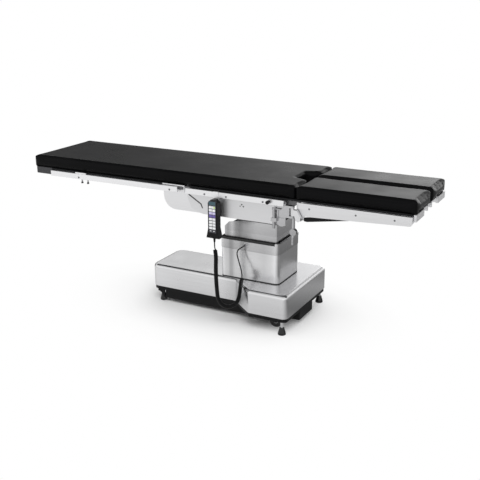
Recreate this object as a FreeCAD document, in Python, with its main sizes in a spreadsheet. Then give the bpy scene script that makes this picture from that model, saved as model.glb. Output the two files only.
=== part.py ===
"""Operating table: a T-shaped base, a telescopic column, a tilting table top and its hand control.

The frame of the model is in millimetres. X runs along the table towards the foot end, Y across it
away from the viewer, and Z up from the floor. The origin is on the floor under the middle of the
table top. Pieces on the side at -Y are called near and those at +Y far.
"""
import FreeCAD
import Part

import math
import os
import re

import Sketcher
from FreeCAD import Placement, Rotation, Vector

SIZES = {
    # Table top
    "top_half_length": 1100.0,
    "pad_half_width": 250.0,
    "pad_bottom": 713.0,
    "pad_thickness": 65.0,
    "pad_corner": 8.0,
    "soft_gap": 0.3,
    "board_thickness": 8.0,
    "board_half_width": 245.5,
    "seam_x": 507.0,
    "leg_gap": 24.0,
    "cutout_start_x": 437.0,
    "cutout_half_start": 54.0,
    "cutout_half_end": 88.0,
    # Side rails
    "rail_outer": 262.0,
    "rail_thickness": 9.5,
    "rail_height": 28.6,
    "rail_top": 704.0,
    "bolt_radius": 5.0,
    "bolt_height": 685.0,
    # Base
    "base_head_x": 400.0,
    "base_foot_x": 478.0,
    "base_narrow": 150.0,
    "base_wide": 263.5,
    "shoulder_x": 131.0,
    "shoulder_angle": 40.3,
    "base_bottom": 90.0,
    "base_top": 212.0,
    "base_wall": 2.5,
    "base_corner": 50.0,
    "base_foot_corner": 30.0,
    "base_edge": 20.0,
    "tray_inset": 4.0,
    "tray_thickness": 12.0,
    "tray_lip": 8.0,
    "tray_lip_width": 6.0,
    "beam_clearance": 2.0,
    "beam_bottom": 22.0,
    "beam_head_x": 320.0,
    "beam_step_x": 240.0,
    "beam_end_half_width": 88.0,
    "beam_wall": 6.0,
    "beam_corner": 18.0,
    # Floor feet
    "foot_head_x": 342.0,
    "foot_head_y": 117.0,
    "foot_end_x": 447.0,
    "foot_end_y": 243.0,
    "foot_radius": 21.0,
    "foot_neck_radius": 12.0,
    "foot_height": 38.0,
    "foot_boss_radius": 16.0,
    "spindle_radius": 8.0,
    "spindle_top": 150.0,
    "running_gap": 0.1,
    # Castors
    "wheel_radius": 37.5,
    "wheel_half_width": 12.0,
    "wheel_lift": 7.0,
    "wheel_axle_radius": 5.0,
    "fork_cheek": 4.0,
    "fork_gap": 2.0,
    "small_wheel_radius": 27.0,
    "castor_trail": 22.0,
    "castor_head_x": 250.0,
    "castor_head_y": 68.0,
    "castor_foot_x": 386.0,
    "castor_foot_y": 180.0,
    # Column
    "column_x": 201.0,
    "lower_half_length": 169.4,
    "lower_half_width": 130.0,
    "shroud_corner": 26.0,
    "shroud_wall": 2.0,
    "gasket_height": 5.0,
    "gasket_width": 5.0,
    "lower_top": 420.0,
    "collar_height": 48.0,
    "collar_proud": 2.0,
    "wiper_top": 431.0,
    "wiper_depth": 12.0,
    "middle_half_length": 162.0,
    "middle_half_width": 122.6,
    "middle_bottom": 140.0,
    "middle_top": 414.0,
    "upper_half_length": 154.5,
    "upper_half_width": 114.5,
    "upper_bottom": 190.0,
    "upper_top": 528.0,
    "slope_low": 481.0,
    "slope_mid": 511.0,
    "slope_run": 30.0,
    "slope_end": 123.0,
    "wiper_gap": 0.3,
    "guide_half_length": 62.0,
    "guide_half_width": 52.0,
    "guide_wall": 6.0,
    "guide_gap": 0.4,
    "guide_outer_top": 405.0,
    "guide_middle_bottom": 140.0,
    "guide_middle_top": 405.0,
    "guide_inner_bottom": 185.0,
    "barrel_radius": 22.0,
    "barrel_top": 436.0,
    "rod_radius": 14.0,
    "rod_bottom": 165.0,
    # Tilting head
    "pivot_height": 600.0,
    "head_plate_bottom": 506.0,
    "head_plate_top": 530.0,
    "head_half_length": 88.0,
    "head_half_width": 92.0,
    "fork_inner": 74.0,
    "fork_thickness": 16.0,
    "fork_half_width": 34.0,
    "trunnion_radius": 14.0,
    "cross_half_length": 52.0,
    "cross_half_width": 56.0,
    "cross_half_height": 22.0,
    "lug_inner": 70.0,
    "lug_thickness": 14.0,
    "lug_half_width": 24.0,
    # Seat section
    "seat_head_x": 94.6,
    "seat_foot_x": 460.0,
    "seat_beam_inner": 196.0,
    "seat_beam_outer": 210.0,
    "seat_beam_bottom": 640.0,
    "seat_rung": 24.0,
    "cover_inner": 241.5,
    "cover_thickness": 3.0,
    "cover_bottom": 575.0,
    "cover_top": 700.0,
    "cover_corner": 7.0,
    "slit_width": 4.0,
    "knob_x": 377.0,
    "knob_stem_radius": 4.0,
    "knob_seat": 2.0,
    "knob_radius": 9.0,
    "knob_reach": 21.0,
    # Leg hinge
    "swivel_x": 498.0,
    "swivel_y": 250.0,
    "lever_y": 256.5,
    "swivel_pin_radius": 5.0,
    "knuckle_radius": 9.0,
    "knuckle_bottom": 632.0,
    "knuckle_top": 672.0,
    "ear_radius": 11.0,
    "ear_height": 10.0,
    "socket_start_x": 462.0,
    "socket_face_x": 486.0,
    "hinge_gap": 0.3,
    "arm_half_width": 9.0,
    "leg_pivot_x": 531.0,
    "leg_pivot_height": 620.0,
    "leg_pin_radius": 8.0,
    "lobe_radius": 15.0,
    "bracket_start_x": 419.0,
    "bracket_width": 43.0,
    "bracket_bottom": 572.0,
    "bracket_wall": 5.0,
    "lever_x": 403.0,
    "lever_rod_radius": 7.5,
    "lever_rod_bottom": 560.0,
    "lever_rod_top": 654.0,
    "lever_reach": 34.0,
    "lock_x": 506.0,
    "lock_height": 553.0,
    "lock_radius": 17.0,
    "lock_neck_radius": 7.0,
    "lock_eye_radius": 9.0,
    "lock_eye_half_width": 4.0,
    "lock_handle_radius": 7.0,
    "lock_handle_bottom": 487.0,
    # Leg sections
    "leg_start_x": 514.0,
    "leg_end_x": 1090.0,
    "leg_plate_inner": 229.5,
    "leg_plate_thickness": 8.0,
    "leg_plate_top": 698.0,
    "leg_plate_low": 632.0,
    "leg_plate_rise": 654.0,
    "leg_beam_inner": 28.0,
    "leg_beam_thickness": 12.0,
    "leg_beam_height": 24.0,
    "release_pivot_x": 800.0,
    "release_pivot_height": 650.0,
    "release_y": 219.0,
    "release_half_width": 6.0,
    "release_tip_x": 545.0,
    # Back section
    "back_pivot_x": 95.0,
    "back_pivot_height": 690.0,
    "back_pin_radius": 8.0,
    "back_beam_inner": 212.0,
    "back_beam_outer": 230.0,
    "back_beam_height": 27.0,
    "back_lobe_radius": 13.5,
    "torso_plate_inner": 233.0,
    "torso_plate_thickness": 3.0,
    "fold_reach": 75.0,
    "board_reach": 22.0,
    "cap_start_x": 975.0,
    "cap_end_x": 1090.0,
    "cap_bottom": 677.0,
    # Hand control
    "handset_x": 85.0,
    "handset_depth": 38.0,
    "handset_bottom": 473.0,
    "handset_top": 672.0,
    "handset_half_width": 26.0,
    "handset_half_foot": 37.0,
    "hook_half_width": 15.0,
    "hook_thickness": 1.7,
    # Curly cord
    "cord_diameter": 6.0,
    "coil_diameter": 18.0,
}

DOC = FreeCAD.newDocument("OperatingTable")
NODES = {}
NAME = re.compile(r"[a-z][a-z0-9_]*")
AXES = {
    "x": Rotation(Vector(0, 1, 0), 90),
    "y": Rotation(Vector(1, 0, 0), -90),
    "-y": Rotation(Vector(1, 0, 0), 90),
    "z": Rotation(),
}


def fill_sheet():
    """Put every driving dimension in the spreadsheet under its own name."""
    sheet = DOC.addObject("Spreadsheet::Sheet", "Sizes")
    for row, (name, value) in enumerate(SIZES.items(), start=1):
        sheet.set(f"A{row}", name)
        sheet.set(f"B{row}", str(value))
        sheet.setAlias(f"B{row}", name)
    DOC.recompute()


def cells(formula):
    """Point the names in a formula at their cells in the sheet."""
    return NAME.sub(lambda m: "Sizes." + m.group() if m.group() in SIZES else m.group(), str(formula))


def bind(thing, prop, formula):
    """Tie one property of an object to a formula."""
    thing.setExpression(prop, cells(formula))


def place(thing, x="0", y="0", z="0"):
    """Tie an object's position to three formulas."""
    for axis, formula in zip("xyz", (x, y, z)):
        bind(thing, "Placement.Base." + axis, formula)


def node(thing, label):
    """Register a finished sub-part under its own name."""
    thing.Label = label
    NODES[label] = thing
    return thing


def new(kind, label):
    """Add a document object with a label."""
    thing = DOC.addObject(kind, label)
    thing.Label = label
    return thing


def sketch_on(body, plane, label):
    """Add a sketch on one of the body's own origin planes."""
    sketch = body.newObject("Sketcher::SketchObject", label)
    role = plane + "_Plane"
    sketch.AttachmentSupport = [(f, "") for f in body.Origin.OriginFeatures if f.Role == role]
    sketch.MapMode = "FlatFace"
    return sketch


def draw_polygon(sketch, points):
    """Draw a closed outline whose corners are tied to pairs of formulas."""
    count = len(points)
    start = [Vector(math.cos(2 * math.pi * i / count), math.sin(2 * math.pi * i / count), 0)
             for i in range(count)]
    for i in range(count):
        sketch.addGeometry(Part.LineSegment(start[i], start[(i + 1) % count]), False)
    for i in range(count):
        sketch.addConstraint(Sketcher.Constraint("Coincident", i, 2, (i + 1) % count, 1))
    for i, (across, up) in enumerate(points):
        for kind, value, formula in (("DistanceX", start[i].x, across), ("DistanceY", start[i].y, up)):
            index = sketch.addConstraint(Sketcher.Constraint(kind, -1, 1, i, 1, value))
            bind(sketch, f"Constraints[{index}]", formula)


def extruded(label, plane, points, low, high):
    """A body made by padding an outline on a plane from one height to another."""
    body = new("PartDesign::Body", label)
    sketch = sketch_on(body, plane, label + "_outline")
    draw_polygon(sketch, points)
    offset = f"-({high})" if plane == "XZ" else low
    bind(sketch, "AttachmentOffset.Base.z", offset)
    pad = body.newObject("PartDesign::Pad", label + "_pad")
    pad.Profile = sketch
    bind(pad, "Length", f"({high}) - ({low})")
    return body


def block(label, x, y, z):
    """A rectangular body between pairs of formulas."""
    corners = [(x[0], y[0]), (x[1], y[0]), (x[1], y[1]), (x[0], y[1])]
    return extruded(label, "XY", corners, z[0], z[1])


def revolved(label, points, x="0", y="0", z="0", axis="z"):
    """A body turned about its own axis from radius and height pairs, then put in place."""
    body = new("PartDesign::Body", label)
    sketch = sketch_on(body, "XZ", label + "_outline")
    draw_polygon(sketch, points)
    turn = body.newObject("PartDesign::Revolution", label + "_turn")
    turn.Profile = sketch
    turn.ReferenceAxis = (sketch, ["V_Axis"])
    turn.Angle = 360
    body.Placement = Placement(Vector(), AXES[axis])
    place(body, x, y, z)
    return body


def cylinder(label, axis, first, second, radius, low, high):
    """A cylinder along an axis; first and second place its centre on the other two."""
    rod = new("Part::Cylinder", label)
    rod.Placement = Placement(Vector(), AXES[axis])
    bind(rod, "Radius", radius)
    bind(rod, "Height", f"({high}) - ({low})")
    spots = {"x": (low, first, second), "y": (first, low, second), "z": (first, second, low)}
    place(rod, *spots[axis])
    return rod


def joined(label, things):
    """One solid from things that touch or overlap."""
    fuse = new("Part::MultiFuse", label)
    fuse.Shapes = things
    fuse.Refine = True
    return fuse


def cut(label, base, tools):
    """A base with tools taken out of it."""
    tool = tools[0]
    if len(tools) > 1:
        tool = joined(label + "_tools", tools)
    result = new("Part::Cut", label)
    result.Base = base
    result.Tool = tool
    return result


def grouped(label, things):
    """Separate solids that share one node."""
    group = new("Part::Compound", label)
    group.Links = things
    return group


def mirrored(label, source):
    """The far side's twin of a near piece."""
    twin = new("Part::Mirroring", label)
    twin.Source = source
    twin.Normal = Vector(0, 1, 0)
    return twin


def both_sides(label, source):
    """A near piece and its far twin as one node."""
    return node(grouped(label, [source, mirrored(label + "_twin", source)]), label)


def round_edges(body, choose, radius, kind="Fillet", size="Radius"):
    """Round or chamfer the edges of a body that a test picks."""
    DOC.recompute()
    tip = body.Tip
    box = tip.Shape.BoundBox
    names = [f"Edge{i}" for i, edge in enumerate(tip.Shape.Edges, start=1) if choose(edge, box)]
    feature = body.newObject("PartDesign::" + kind, body.Label + "_" + kind.lower())
    feature.Base = (tip, names)
    bind(feature, size, radius)
    return body


def upright(edge, box):
    """True for the edges that run the full height."""
    return edge.BoundBox.ZLength > 0.9 * box.ZLength and edge.BoundBox.XLength < 1e-6


def along_y(edge, box):
    """True for the edges that run the full width."""
    return edge.BoundBox.YLength > 0.9 * box.YLength and edge.BoundBox.XLength < 1e-6


def around_top(edge, box):
    """True for the edges of the top face."""
    return edge.BoundBox.ZMin > box.ZMax - 1e-4


def around_front(edge, box):
    """True for the edges of the face at lowest Y."""
    return edge.BoundBox.YMax < box.YMin + 1e-4


def base_outline(inset):
    """The T-shaped outline of the base, drawn in by a distance, seen from above."""
    slant = f"tan(shoulder_angle / 2) * ({inset})"
    head = f"-base_head_x + ({inset})"
    foot = f"base_foot_x - ({inset})"
    narrow = f"base_narrow - ({inset})"
    wide = f"base_wide - ({inset})"
    step = f"shoulder_x + {slant}"
    spread = f"shoulder_x + (base_wide - base_narrow) / tan(shoulder_angle) + {slant}"
    far = [(foot, wide), (spread, wide), (step, narrow), (head, narrow)]
    near = [(x, f"-({y})") for x, y in reversed(far)]
    return near + far


def base_block(label, inset, low, high, shrink):
    """A block with the base's outline and rounded upright corners."""
    body = extruded(label, "XY", base_outline(inset), low, high)
    limit = SIZES["base_head_x"] * 0.9

    def head_corner(edge, box):
        return upright(edge, box) and edge.BoundBox.XMin < -limit

    def other_corner(edge, box):
        return upright(edge, box) and edge.BoundBox.XMin > -limit and edge.Curve.TypeId == "Part::GeomLine"

    round_edges(body, head_corner, f"base_corner - ({shrink})")
    round_edges(body, other_corner, f"base_foot_corner - ({shrink})")
    return body


def build_base():
    """The stainless cover, the tray under it and the long chassis beam."""
    shell = base_block("base_cover_outside", "0", "base_bottom", "base_top", "0")
    round_edges(shell, around_top, "base_edge")
    room = base_block("base_cover_inside", "base_wall", "base_bottom - 1", "base_top - base_wall", "base_wall")
    round_edges(room, around_top, "base_edge - base_wall")
    throat = block("base_cover_throat",
                   ("column_x - guide_half_length - 12", "column_x + guide_half_length + 12"),
                   ("-guide_half_width - 12", "guide_half_width + 12"),
                   ("base_top - base_edge", "base_top + 1"))
    well = block("base_cover_well",
                 ("column_x - middle_half_length - 2", "column_x + middle_half_length + 2"),
                 ("-middle_half_width - 2", "middle_half_width + 2"),
                 ("base_top - base_edge", "base_top + 1"))
    node(cut("base_cover", shell, [room, throat, well]), "base_cover")

    wide = "(base_narrow - tray_inset - tray_lip_width - beam_clearance)"
    slim = "beam_end_half_width"
    plate = base_block("tray_plate", "tray_inset", "base_bottom - tray_thickness - tray_lip", "base_bottom",
                       "tray_inset")
    hollow = base_block("tray_hollow", "tray_inset + tray_lip_width",
                        "base_bottom - tray_thickness - tray_lip - 1", "base_bottom - tray_thickness",
                        "tray_inset + tray_lip_width")
    bosses = [cylinder(f"tray_boss_{i}", "z", x, y, "foot_boss_radius",
                       "base_bottom - tray_thickness - tray_lip", "base_bottom - 1")
              for i, (x, y) in enumerate(foot_places(), start=1)]
    holes = [cylinder(f"tray_bore_{i}", "z", x, y, "spindle_radius + running_gap", "0", "base_bottom + 1")
             for i, (x, y) in enumerate(foot_places(), start=1)]
    brackets = []
    for side, tag in ((-1, "near"), (1, "far")):
        for hand in (-1, 1):
            brackets.append(wheel_cheek(f"fixed_cheek_{tag}_{hand + 1}", "castor_foot_x",
                                        f"{side} * castor_foot_y", hand, "castor_foot_x",
                                        "base_bottom - tray_thickness + 1"))
        brackets.append(cylinder(f"fixed_axle_{tag}", "y", "castor_foot_x", "wheel_radius + wheel_lift",
                                 "wheel_axle_radius",
                                 f"{side} * castor_foot_y - wheel_half_width - fork_gap - 1",
                                 f"{side} * castor_foot_y + wheel_half_width + fork_gap + 1"))
    notch = block("tray_notch", ("base_foot_x - tray_inset - tray_lip_width - 1", "base_foot_x"),
                  (f"-{slim} - soft_gap", f"{slim} + soft_gap"),
                  ("base_bottom - tray_thickness - tray_lip - 1", "base_bottom - tray_thickness"))
    tray = cut("tray_pressed", plate, [hollow, notch])
    tray = joined("tray_bossed", [tray] + bosses + brackets)
    wells = [block(f"tray_well_{tag}", ("castor_foot_x - wheel_radius * 0.6", "castor_foot_x + wheel_radius * 0.6"),
                   (f"{side} * castor_foot_y - wheel_half_width - 1.5", f"{side} * castor_foot_y + wheel_half_width + 1.5"),
                   ("base_bottom - tray_thickness - tray_lip", "wheel_radius * 2 + wheel_lift + 2"))
             for side, tag in ((-1, "near"), (1, "far"))]
    node(cut("chassis_tray", tray, holes + wells), "chassis_tray")

    top = "base_bottom - tray_thickness"
    half = [("base_foot_x - tray_inset", slim), ("beam_step_x", slim), ("beam_step_x", wide),
            ("-beam_head_x", wide)]
    outline = [(x, f"-({y})") for x, y in reversed(half)] + half
    beam = extruded("beam_outside", "XY", outline, "beam_bottom", top)
    round_edges(beam, upright, "beam_corner / 2")
    walls = "beam_wall"
    half = [(f"base_foot_x - tray_inset - {walls}", f"{slim} - {walls}"),
            (f"beam_step_x - {walls}", f"{slim} - {walls}"), (f"beam_step_x - {walls}", f"{wide} - {walls}"),
            (f"-beam_head_x + {walls}", f"{wide} - {walls}")]
    outline = [(x, f"-({y})") for x, y in reversed(half)] + half
    inside = extruded("beam_inside", "XY", outline, "beam_bottom - 1", f"{top} - {walls}")
    stems = [cylinder(f"beam_stem_bore_{i}", "z", "-castor_head_x", y, "spindle_radius + running_gap",
                      "beam_bottom", f"{top} + 1")
             for i, y in enumerate(("-castor_head_y", "castor_head_y"), start=1)]
    node(cut("chassis_beam", beam, [inside] + stems), "chassis_beam")

    floor = "base_bottom"
    pack = block("battery_pack", ("-foot_head_x + foot_boss_radius + 4", "-190"), ("-100", "100"),
                 (floor, f"{floor} + 88"))
    round_edges(pack, upright, "6")
    node(pack, "battery_pack")
    motor = cylinder("pump_motor", "x", "-38", f"{floor} + 46", "42", "-60", "22")
    pump_tank = block("pump_tank", ("-170", "-59"), ("-90", "20"), (floor, f"{floor} + 84"))
    foot = block("pump_foot", ("-60", "20"), ("-70", "-6"), (floor, f"{floor} + 12"))
    node(joined("pump_unit", [motor, pump_tank, foot]), "pump_unit")


def foot_places():
    """Where the four floor feet stand, as pairs of formulas."""
    return [("-foot_head_x", "-foot_head_y"), ("-foot_head_x", "foot_head_y"),
            ("foot_end_x", "-foot_end_y"), ("foot_end_x", "foot_end_y")]


def build_feet():
    """Four conical feet on chrome spindles that lift the table off its castors."""
    pads = []
    spindles = []
    for i, (x, y) in enumerate(foot_places(), start=1):
        profile = [("0", "0"), ("foot_radius - 1.5", "0"), ("foot_radius", "2"),
                   ("foot_radius - 1", "foot_height * 0.28"), ("foot_neck_radius + 1", "foot_height * 0.92"),
                   ("foot_neck_radius", "foot_height"), ("0", "foot_height")]
        pads.append(revolved(f"foot_pad_{i}", profile, x, y))
        spindles.append(cylinder(f"spindle_{i}", "z", x, y, "spindle_radius", "foot_height", "spindle_top"))
    node(grouped("foot_pads", pads), "foot_pads")
    node(grouped("foot_spindles", spindles), "foot_spindles")


def wheel_cheek(label, axle_x, centre_y, hand, stem_x, top, radius="wheel_radius"):
    """One cheek of a castor fork, from its top plate down round the axle."""
    inner = f"{centre_y} + {hand} * (wheel_half_width + fork_gap)"
    outer = f"{centre_y} + {hand} * (wheel_half_width + fork_gap + fork_cheek)"
    low, high = (outer, inner) if hand < 0 else (inner, outer)
    axle = f"{radius} + wheel_lift"
    points = [(f"{axle_x} - 9", f"{axle} - 9"), (f"{axle_x} + 9", f"{axle} - 9"),
              (f"{stem_x} + 20", top), (f"{stem_x} - 20", top)]
    return extruded(label, "XZ", points, low, high)


def castor_wheel(label, x, y, rim="wheel_radius"):
    """A solid wheel with a dished hub and a bore for its axle."""
    half = "wheel_half_width"
    bore = "wheel_axle_radius + running_gap"
    profile = [(bore, f"-{half}"), ("14", f"-{half}"), ("16", f"-{half} + 4"), (f"{rim} - 10", f"-{half} + 4"),
               (f"{rim} - 8", f"-{half}"), (f"{rim} - 3", f"-{half}"), (rim, f"-{half} + 3"),
               (rim, f"{half} - 3"), (f"{rim} - 3", half), (f"{rim} - 8", half), (f"{rim} - 10", f"{half} - 4"),
               ("16", f"{half} - 4"), ("14", half), (bore, half)]
    return node(revolved(label, profile, x, y, f"{rim} + wheel_lift", "y"), label)


def build_castors():
    """Two swivelling castors at the head end and two fixed wheels at the foot end."""
    top = "base_bottom - tray_thickness - beam_wall"
    small = "small_wheel_radius"
    for side, tag in ((-1, "near"), (1, "far")):
        y = f"{side} * castor_head_y"
        axle_x = "-castor_head_x - castor_trail"
        cheeks = [wheel_cheek(f"swivel_cheek_{tag}_{hand + 1}", axle_x, y, hand, "-castor_head_x",
                              f"{top} - hinge_gap - 4", small) for hand in (-1, 1)]
        crown = cylinder(f"swivel_crown_{tag}", "z", "-castor_head_x", y, "24", f"{top} - hinge_gap - 6",
                         f"{top} - hinge_gap")
        stem = cylinder(f"swivel_stem_{tag}", "z", "-castor_head_x", y, "spindle_radius",
                        f"{top} - hinge_gap - 1", f"{top} + beam_wall - 1")
        axle = cylinder(f"swivel_axle_{tag}", "y", axle_x, f"{small} + wheel_lift", "wheel_axle_radius",
                        f"{y} - wheel_half_width - fork_gap - 1", f"{y} + wheel_half_width + fork_gap + 1")
        node(joined(f"castor_fork_{tag}", cheeks + [crown, stem, axle]), f"castor_fork_{tag}")
        castor_wheel(f"swivel_wheel_{tag}", axle_x, y, small)
        castor_wheel(f"fixed_wheel_{tag}", "castor_foot_x", f"{side} * castor_foot_y")


def column_block(label, length, width, low, high, corner):
    """A rounded rectangular block about the column's axis."""
    body = block(label, (f"column_x - ({length})", f"column_x + ({length})"), (f"-({width})", width), (low, high))
    return round_edges(body, upright, corner)


def tube(label, length, width, wall, low, high, corner):
    """A rounded rectangular tube about the column's axis, open at both ends."""
    outside = column_block(label + "_outside", length, width, low, high, corner)
    inside = column_block(label + "_inside", f"{length} - {wall}", f"{width} - {wall}",
                          f"{low} - 1", f"{high} + 1", f"{corner} - {wall}")
    return cut(label, outside, [inside])


def build_column():
    """Three telescopic shrouds over three guide tubes and the lift cylinder."""
    seat = "base_top"
    node(tube("column_gasket", "lower_half_length - 1", "lower_half_width - 1", "gasket_width", seat,
              f"{seat} + gasket_height", "shroud_corner - 1"), "column_gasket")
    outside = column_block("lower_outside", "lower_half_length", "lower_half_width",
                           f"{seat} + gasket_height", "lower_top", "shroud_corner")
    collar = column_block("lower_collar", "lower_half_length + collar_proud", "lower_half_width + collar_proud",
                          "lower_top - collar_height", "lower_top", "shroud_corner + collar_proud")
    inside = column_block("lower_inside", "lower_half_length - shroud_wall", "lower_half_width - shroud_wall",
                          f"{seat} + gasket_height - 1", "lower_top + 1", "shroud_corner - shroud_wall")
    skin = joined("lower_skin", [outside, collar])
    node(cut("lower_shroud", skin, [inside]), "lower_shroud")
    fit = "middle_half_length + wiper_gap"
    fit_width = "middle_half_width + wiper_gap"
    wiper = column_block("lower_wiper_outside", "lower_half_length - shroud_wall",
                         "lower_half_width - shroud_wall", "wiper_top - wiper_depth", "wiper_top",
                         "shroud_corner - shroud_wall")
    bore = column_block("lower_wiper_inside", fit, fit_width, "wiper_top - wiper_depth - 1", "wiper_top + 1",
                        "shroud_corner - shroud_wall - 6")
    node(cut("lower_wiper", wiper, [bore]), "lower_wiper")

    node(tube("middle_shroud", "middle_half_length", "middle_half_width", "shroud_wall", "middle_bottom",
              "middle_top", "shroud_corner - shroud_wall - 6"), "middle_shroud")
    wiper = column_block("middle_wiper_outside", "middle_half_length", "middle_half_width", "middle_top",
                         "middle_top + wiper_depth", "shroud_corner - shroud_wall - 6")
    bore = column_block("middle_wiper_inside", "upper_half_length + wiper_gap", "upper_half_width + wiper_gap",
                        "middle_top - 1", "middle_top + wiper_depth + 1", "shroud_corner - 14")
    node(cut("middle_wiper", wiper, [bore]), "middle_wiper")

    skin = tube("upper_tube", "upper_half_length", "upper_half_width", "shroud_wall", "upper_bottom",
                "upper_top", "shroud_corner - 14")
    left = "column_x - upper_half_length"
    slope = extruded("upper_slope_head", "XZ",
                     [(f"{left} - 1", "slope_low - 1"), (f"{left} + slope_run", "slope_mid"),
                      (f"{left} + slope_end", "upper_top + 1"), (f"{left} - 1", "upper_top + 1")],
                     "-upper_half_width - 1", "upper_half_width + 1")
    node(cut("upper_shroud", skin, [slope]), "upper_shroud")

    length, width, wall = "guide_half_length", "guide_half_width", "guide_wall"
    node(tube("guide_outer", length, width, wall, "base_bottom", "guide_outer_top", "10"), "guide_outer")
    length, width = f"{length} - {wall} - guide_gap", f"{width} - {wall} - guide_gap"
    node(tube("guide_middle", length, width, wall, "guide_middle_bottom", "guide_middle_top", "8"), "guide_middle")
    length, width = f"{length} - {wall} - guide_gap", f"{width} - {wall} - guide_gap"
    node(tube("guide_inner", length, width, wall, "guide_inner_bottom", "head_plate_bottom", "7"), "guide_inner")
    barrel = cylinder("barrel_outside", "z", "column_x", "0", "barrel_radius", "base_bottom", "barrel_top")
    bore = cylinder("barrel_bore", "z", "column_x", "0", "rod_radius + running_gap", "base_bottom + 8",
                    "barrel_top + 1")
    node(cut("lift_barrel", barrel, [bore]), "lift_barrel")
    node(cylinder("lift_rod", "z", "column_x", "0", "rod_radius", "rod_bottom", "head_plate_bottom"), "lift_rod")


def build_tilt_head():
    """The fork on top of the column and the cross that lets the table tilt both ways."""
    plate = block("head_plate", ("column_x - head_half_length", "column_x + head_half_length"),
                  ("-head_half_width", "head_half_width"), ("head_plate_bottom", "head_plate_top"))
    shelf = column_block("head_shelf", "upper_half_length - shroud_wall", "upper_half_width - shroud_wall",
                         "head_plate_bottom - 60", "head_plate_bottom - 52", "shroud_corner - 16")
    shelf_hole = block("head_shelf_hole", ("column_x - 100", "column_x + 100"), ("-80", "80"),
                       ("head_plate_bottom - 61", "head_plate_bottom - 51"))
    ring = cut("head_ring", shelf, [shelf_hole])
    posts = [block(f"head_post_{i}", (f"column_x + {x} - 8", f"column_x + {x} + 8"), (f"{y} - 8", f"{y} + 8"),
                   ("head_plate_bottom - 53", "head_plate_bottom + 1"))
             for i, (x, y) in enumerate(((-80, -84), (80, -84), (-80, 84), (80, 84)), start=1)]
    cheeks = []
    for side, tag in ((-1, "near"), (1, "far")):
        spans = (f"{side} * fork_inner", f"{side} * (fork_inner + fork_thickness)")
        low, high = spans if side > 0 else spans[::-1]
        points = [("column_x - 60", "head_plate_top - 1"), ("column_x + 60", "head_plate_top - 1"),
                  ("column_x + fork_half_width", "pivot_height"), ("column_x + 20", "pivot_height + 28"),
                  ("column_x - 20", "pivot_height + 28"), ("column_x - fork_half_width", "pivot_height")]
        cheeks.append(extruded(f"head_cheek_{tag}", "XZ", points, low, high))
    fork = joined("head_fork_blank", [plate, ring] + posts + cheeks)
    bore = cylinder("head_fork_bore", "y", "column_x", "pivot_height", "trunnion_radius + running_gap",
                    "-fork_inner - fork_thickness - 1", "fork_inner + fork_thickness + 1")
    node(cut("head_fork", fork, [bore]), "head_fork")

    middle = block("cross_block", ("column_x - cross_half_length", "column_x + cross_half_length"),
                   ("-cross_half_width", "cross_half_width"),
                   ("pivot_height - cross_half_height", "pivot_height + cross_half_height"))
    round_edges(middle, upright, "12")
    side_pin = cylinder("cross_side_pin", "y", "column_x", "pivot_height", "trunnion_radius",
                        "-fork_inner - fork_thickness", "fork_inner + fork_thickness")
    long_pin = cylinder("cross_long_pin", "x", "0", "pivot_height", "trunnion_radius",
                        "column_x - lug_inner - lug_thickness", "column_x + lug_inner + lug_thickness")
    node(joined("tilt_cross", [middle, side_pin, long_pin]), "tilt_cross")


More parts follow.
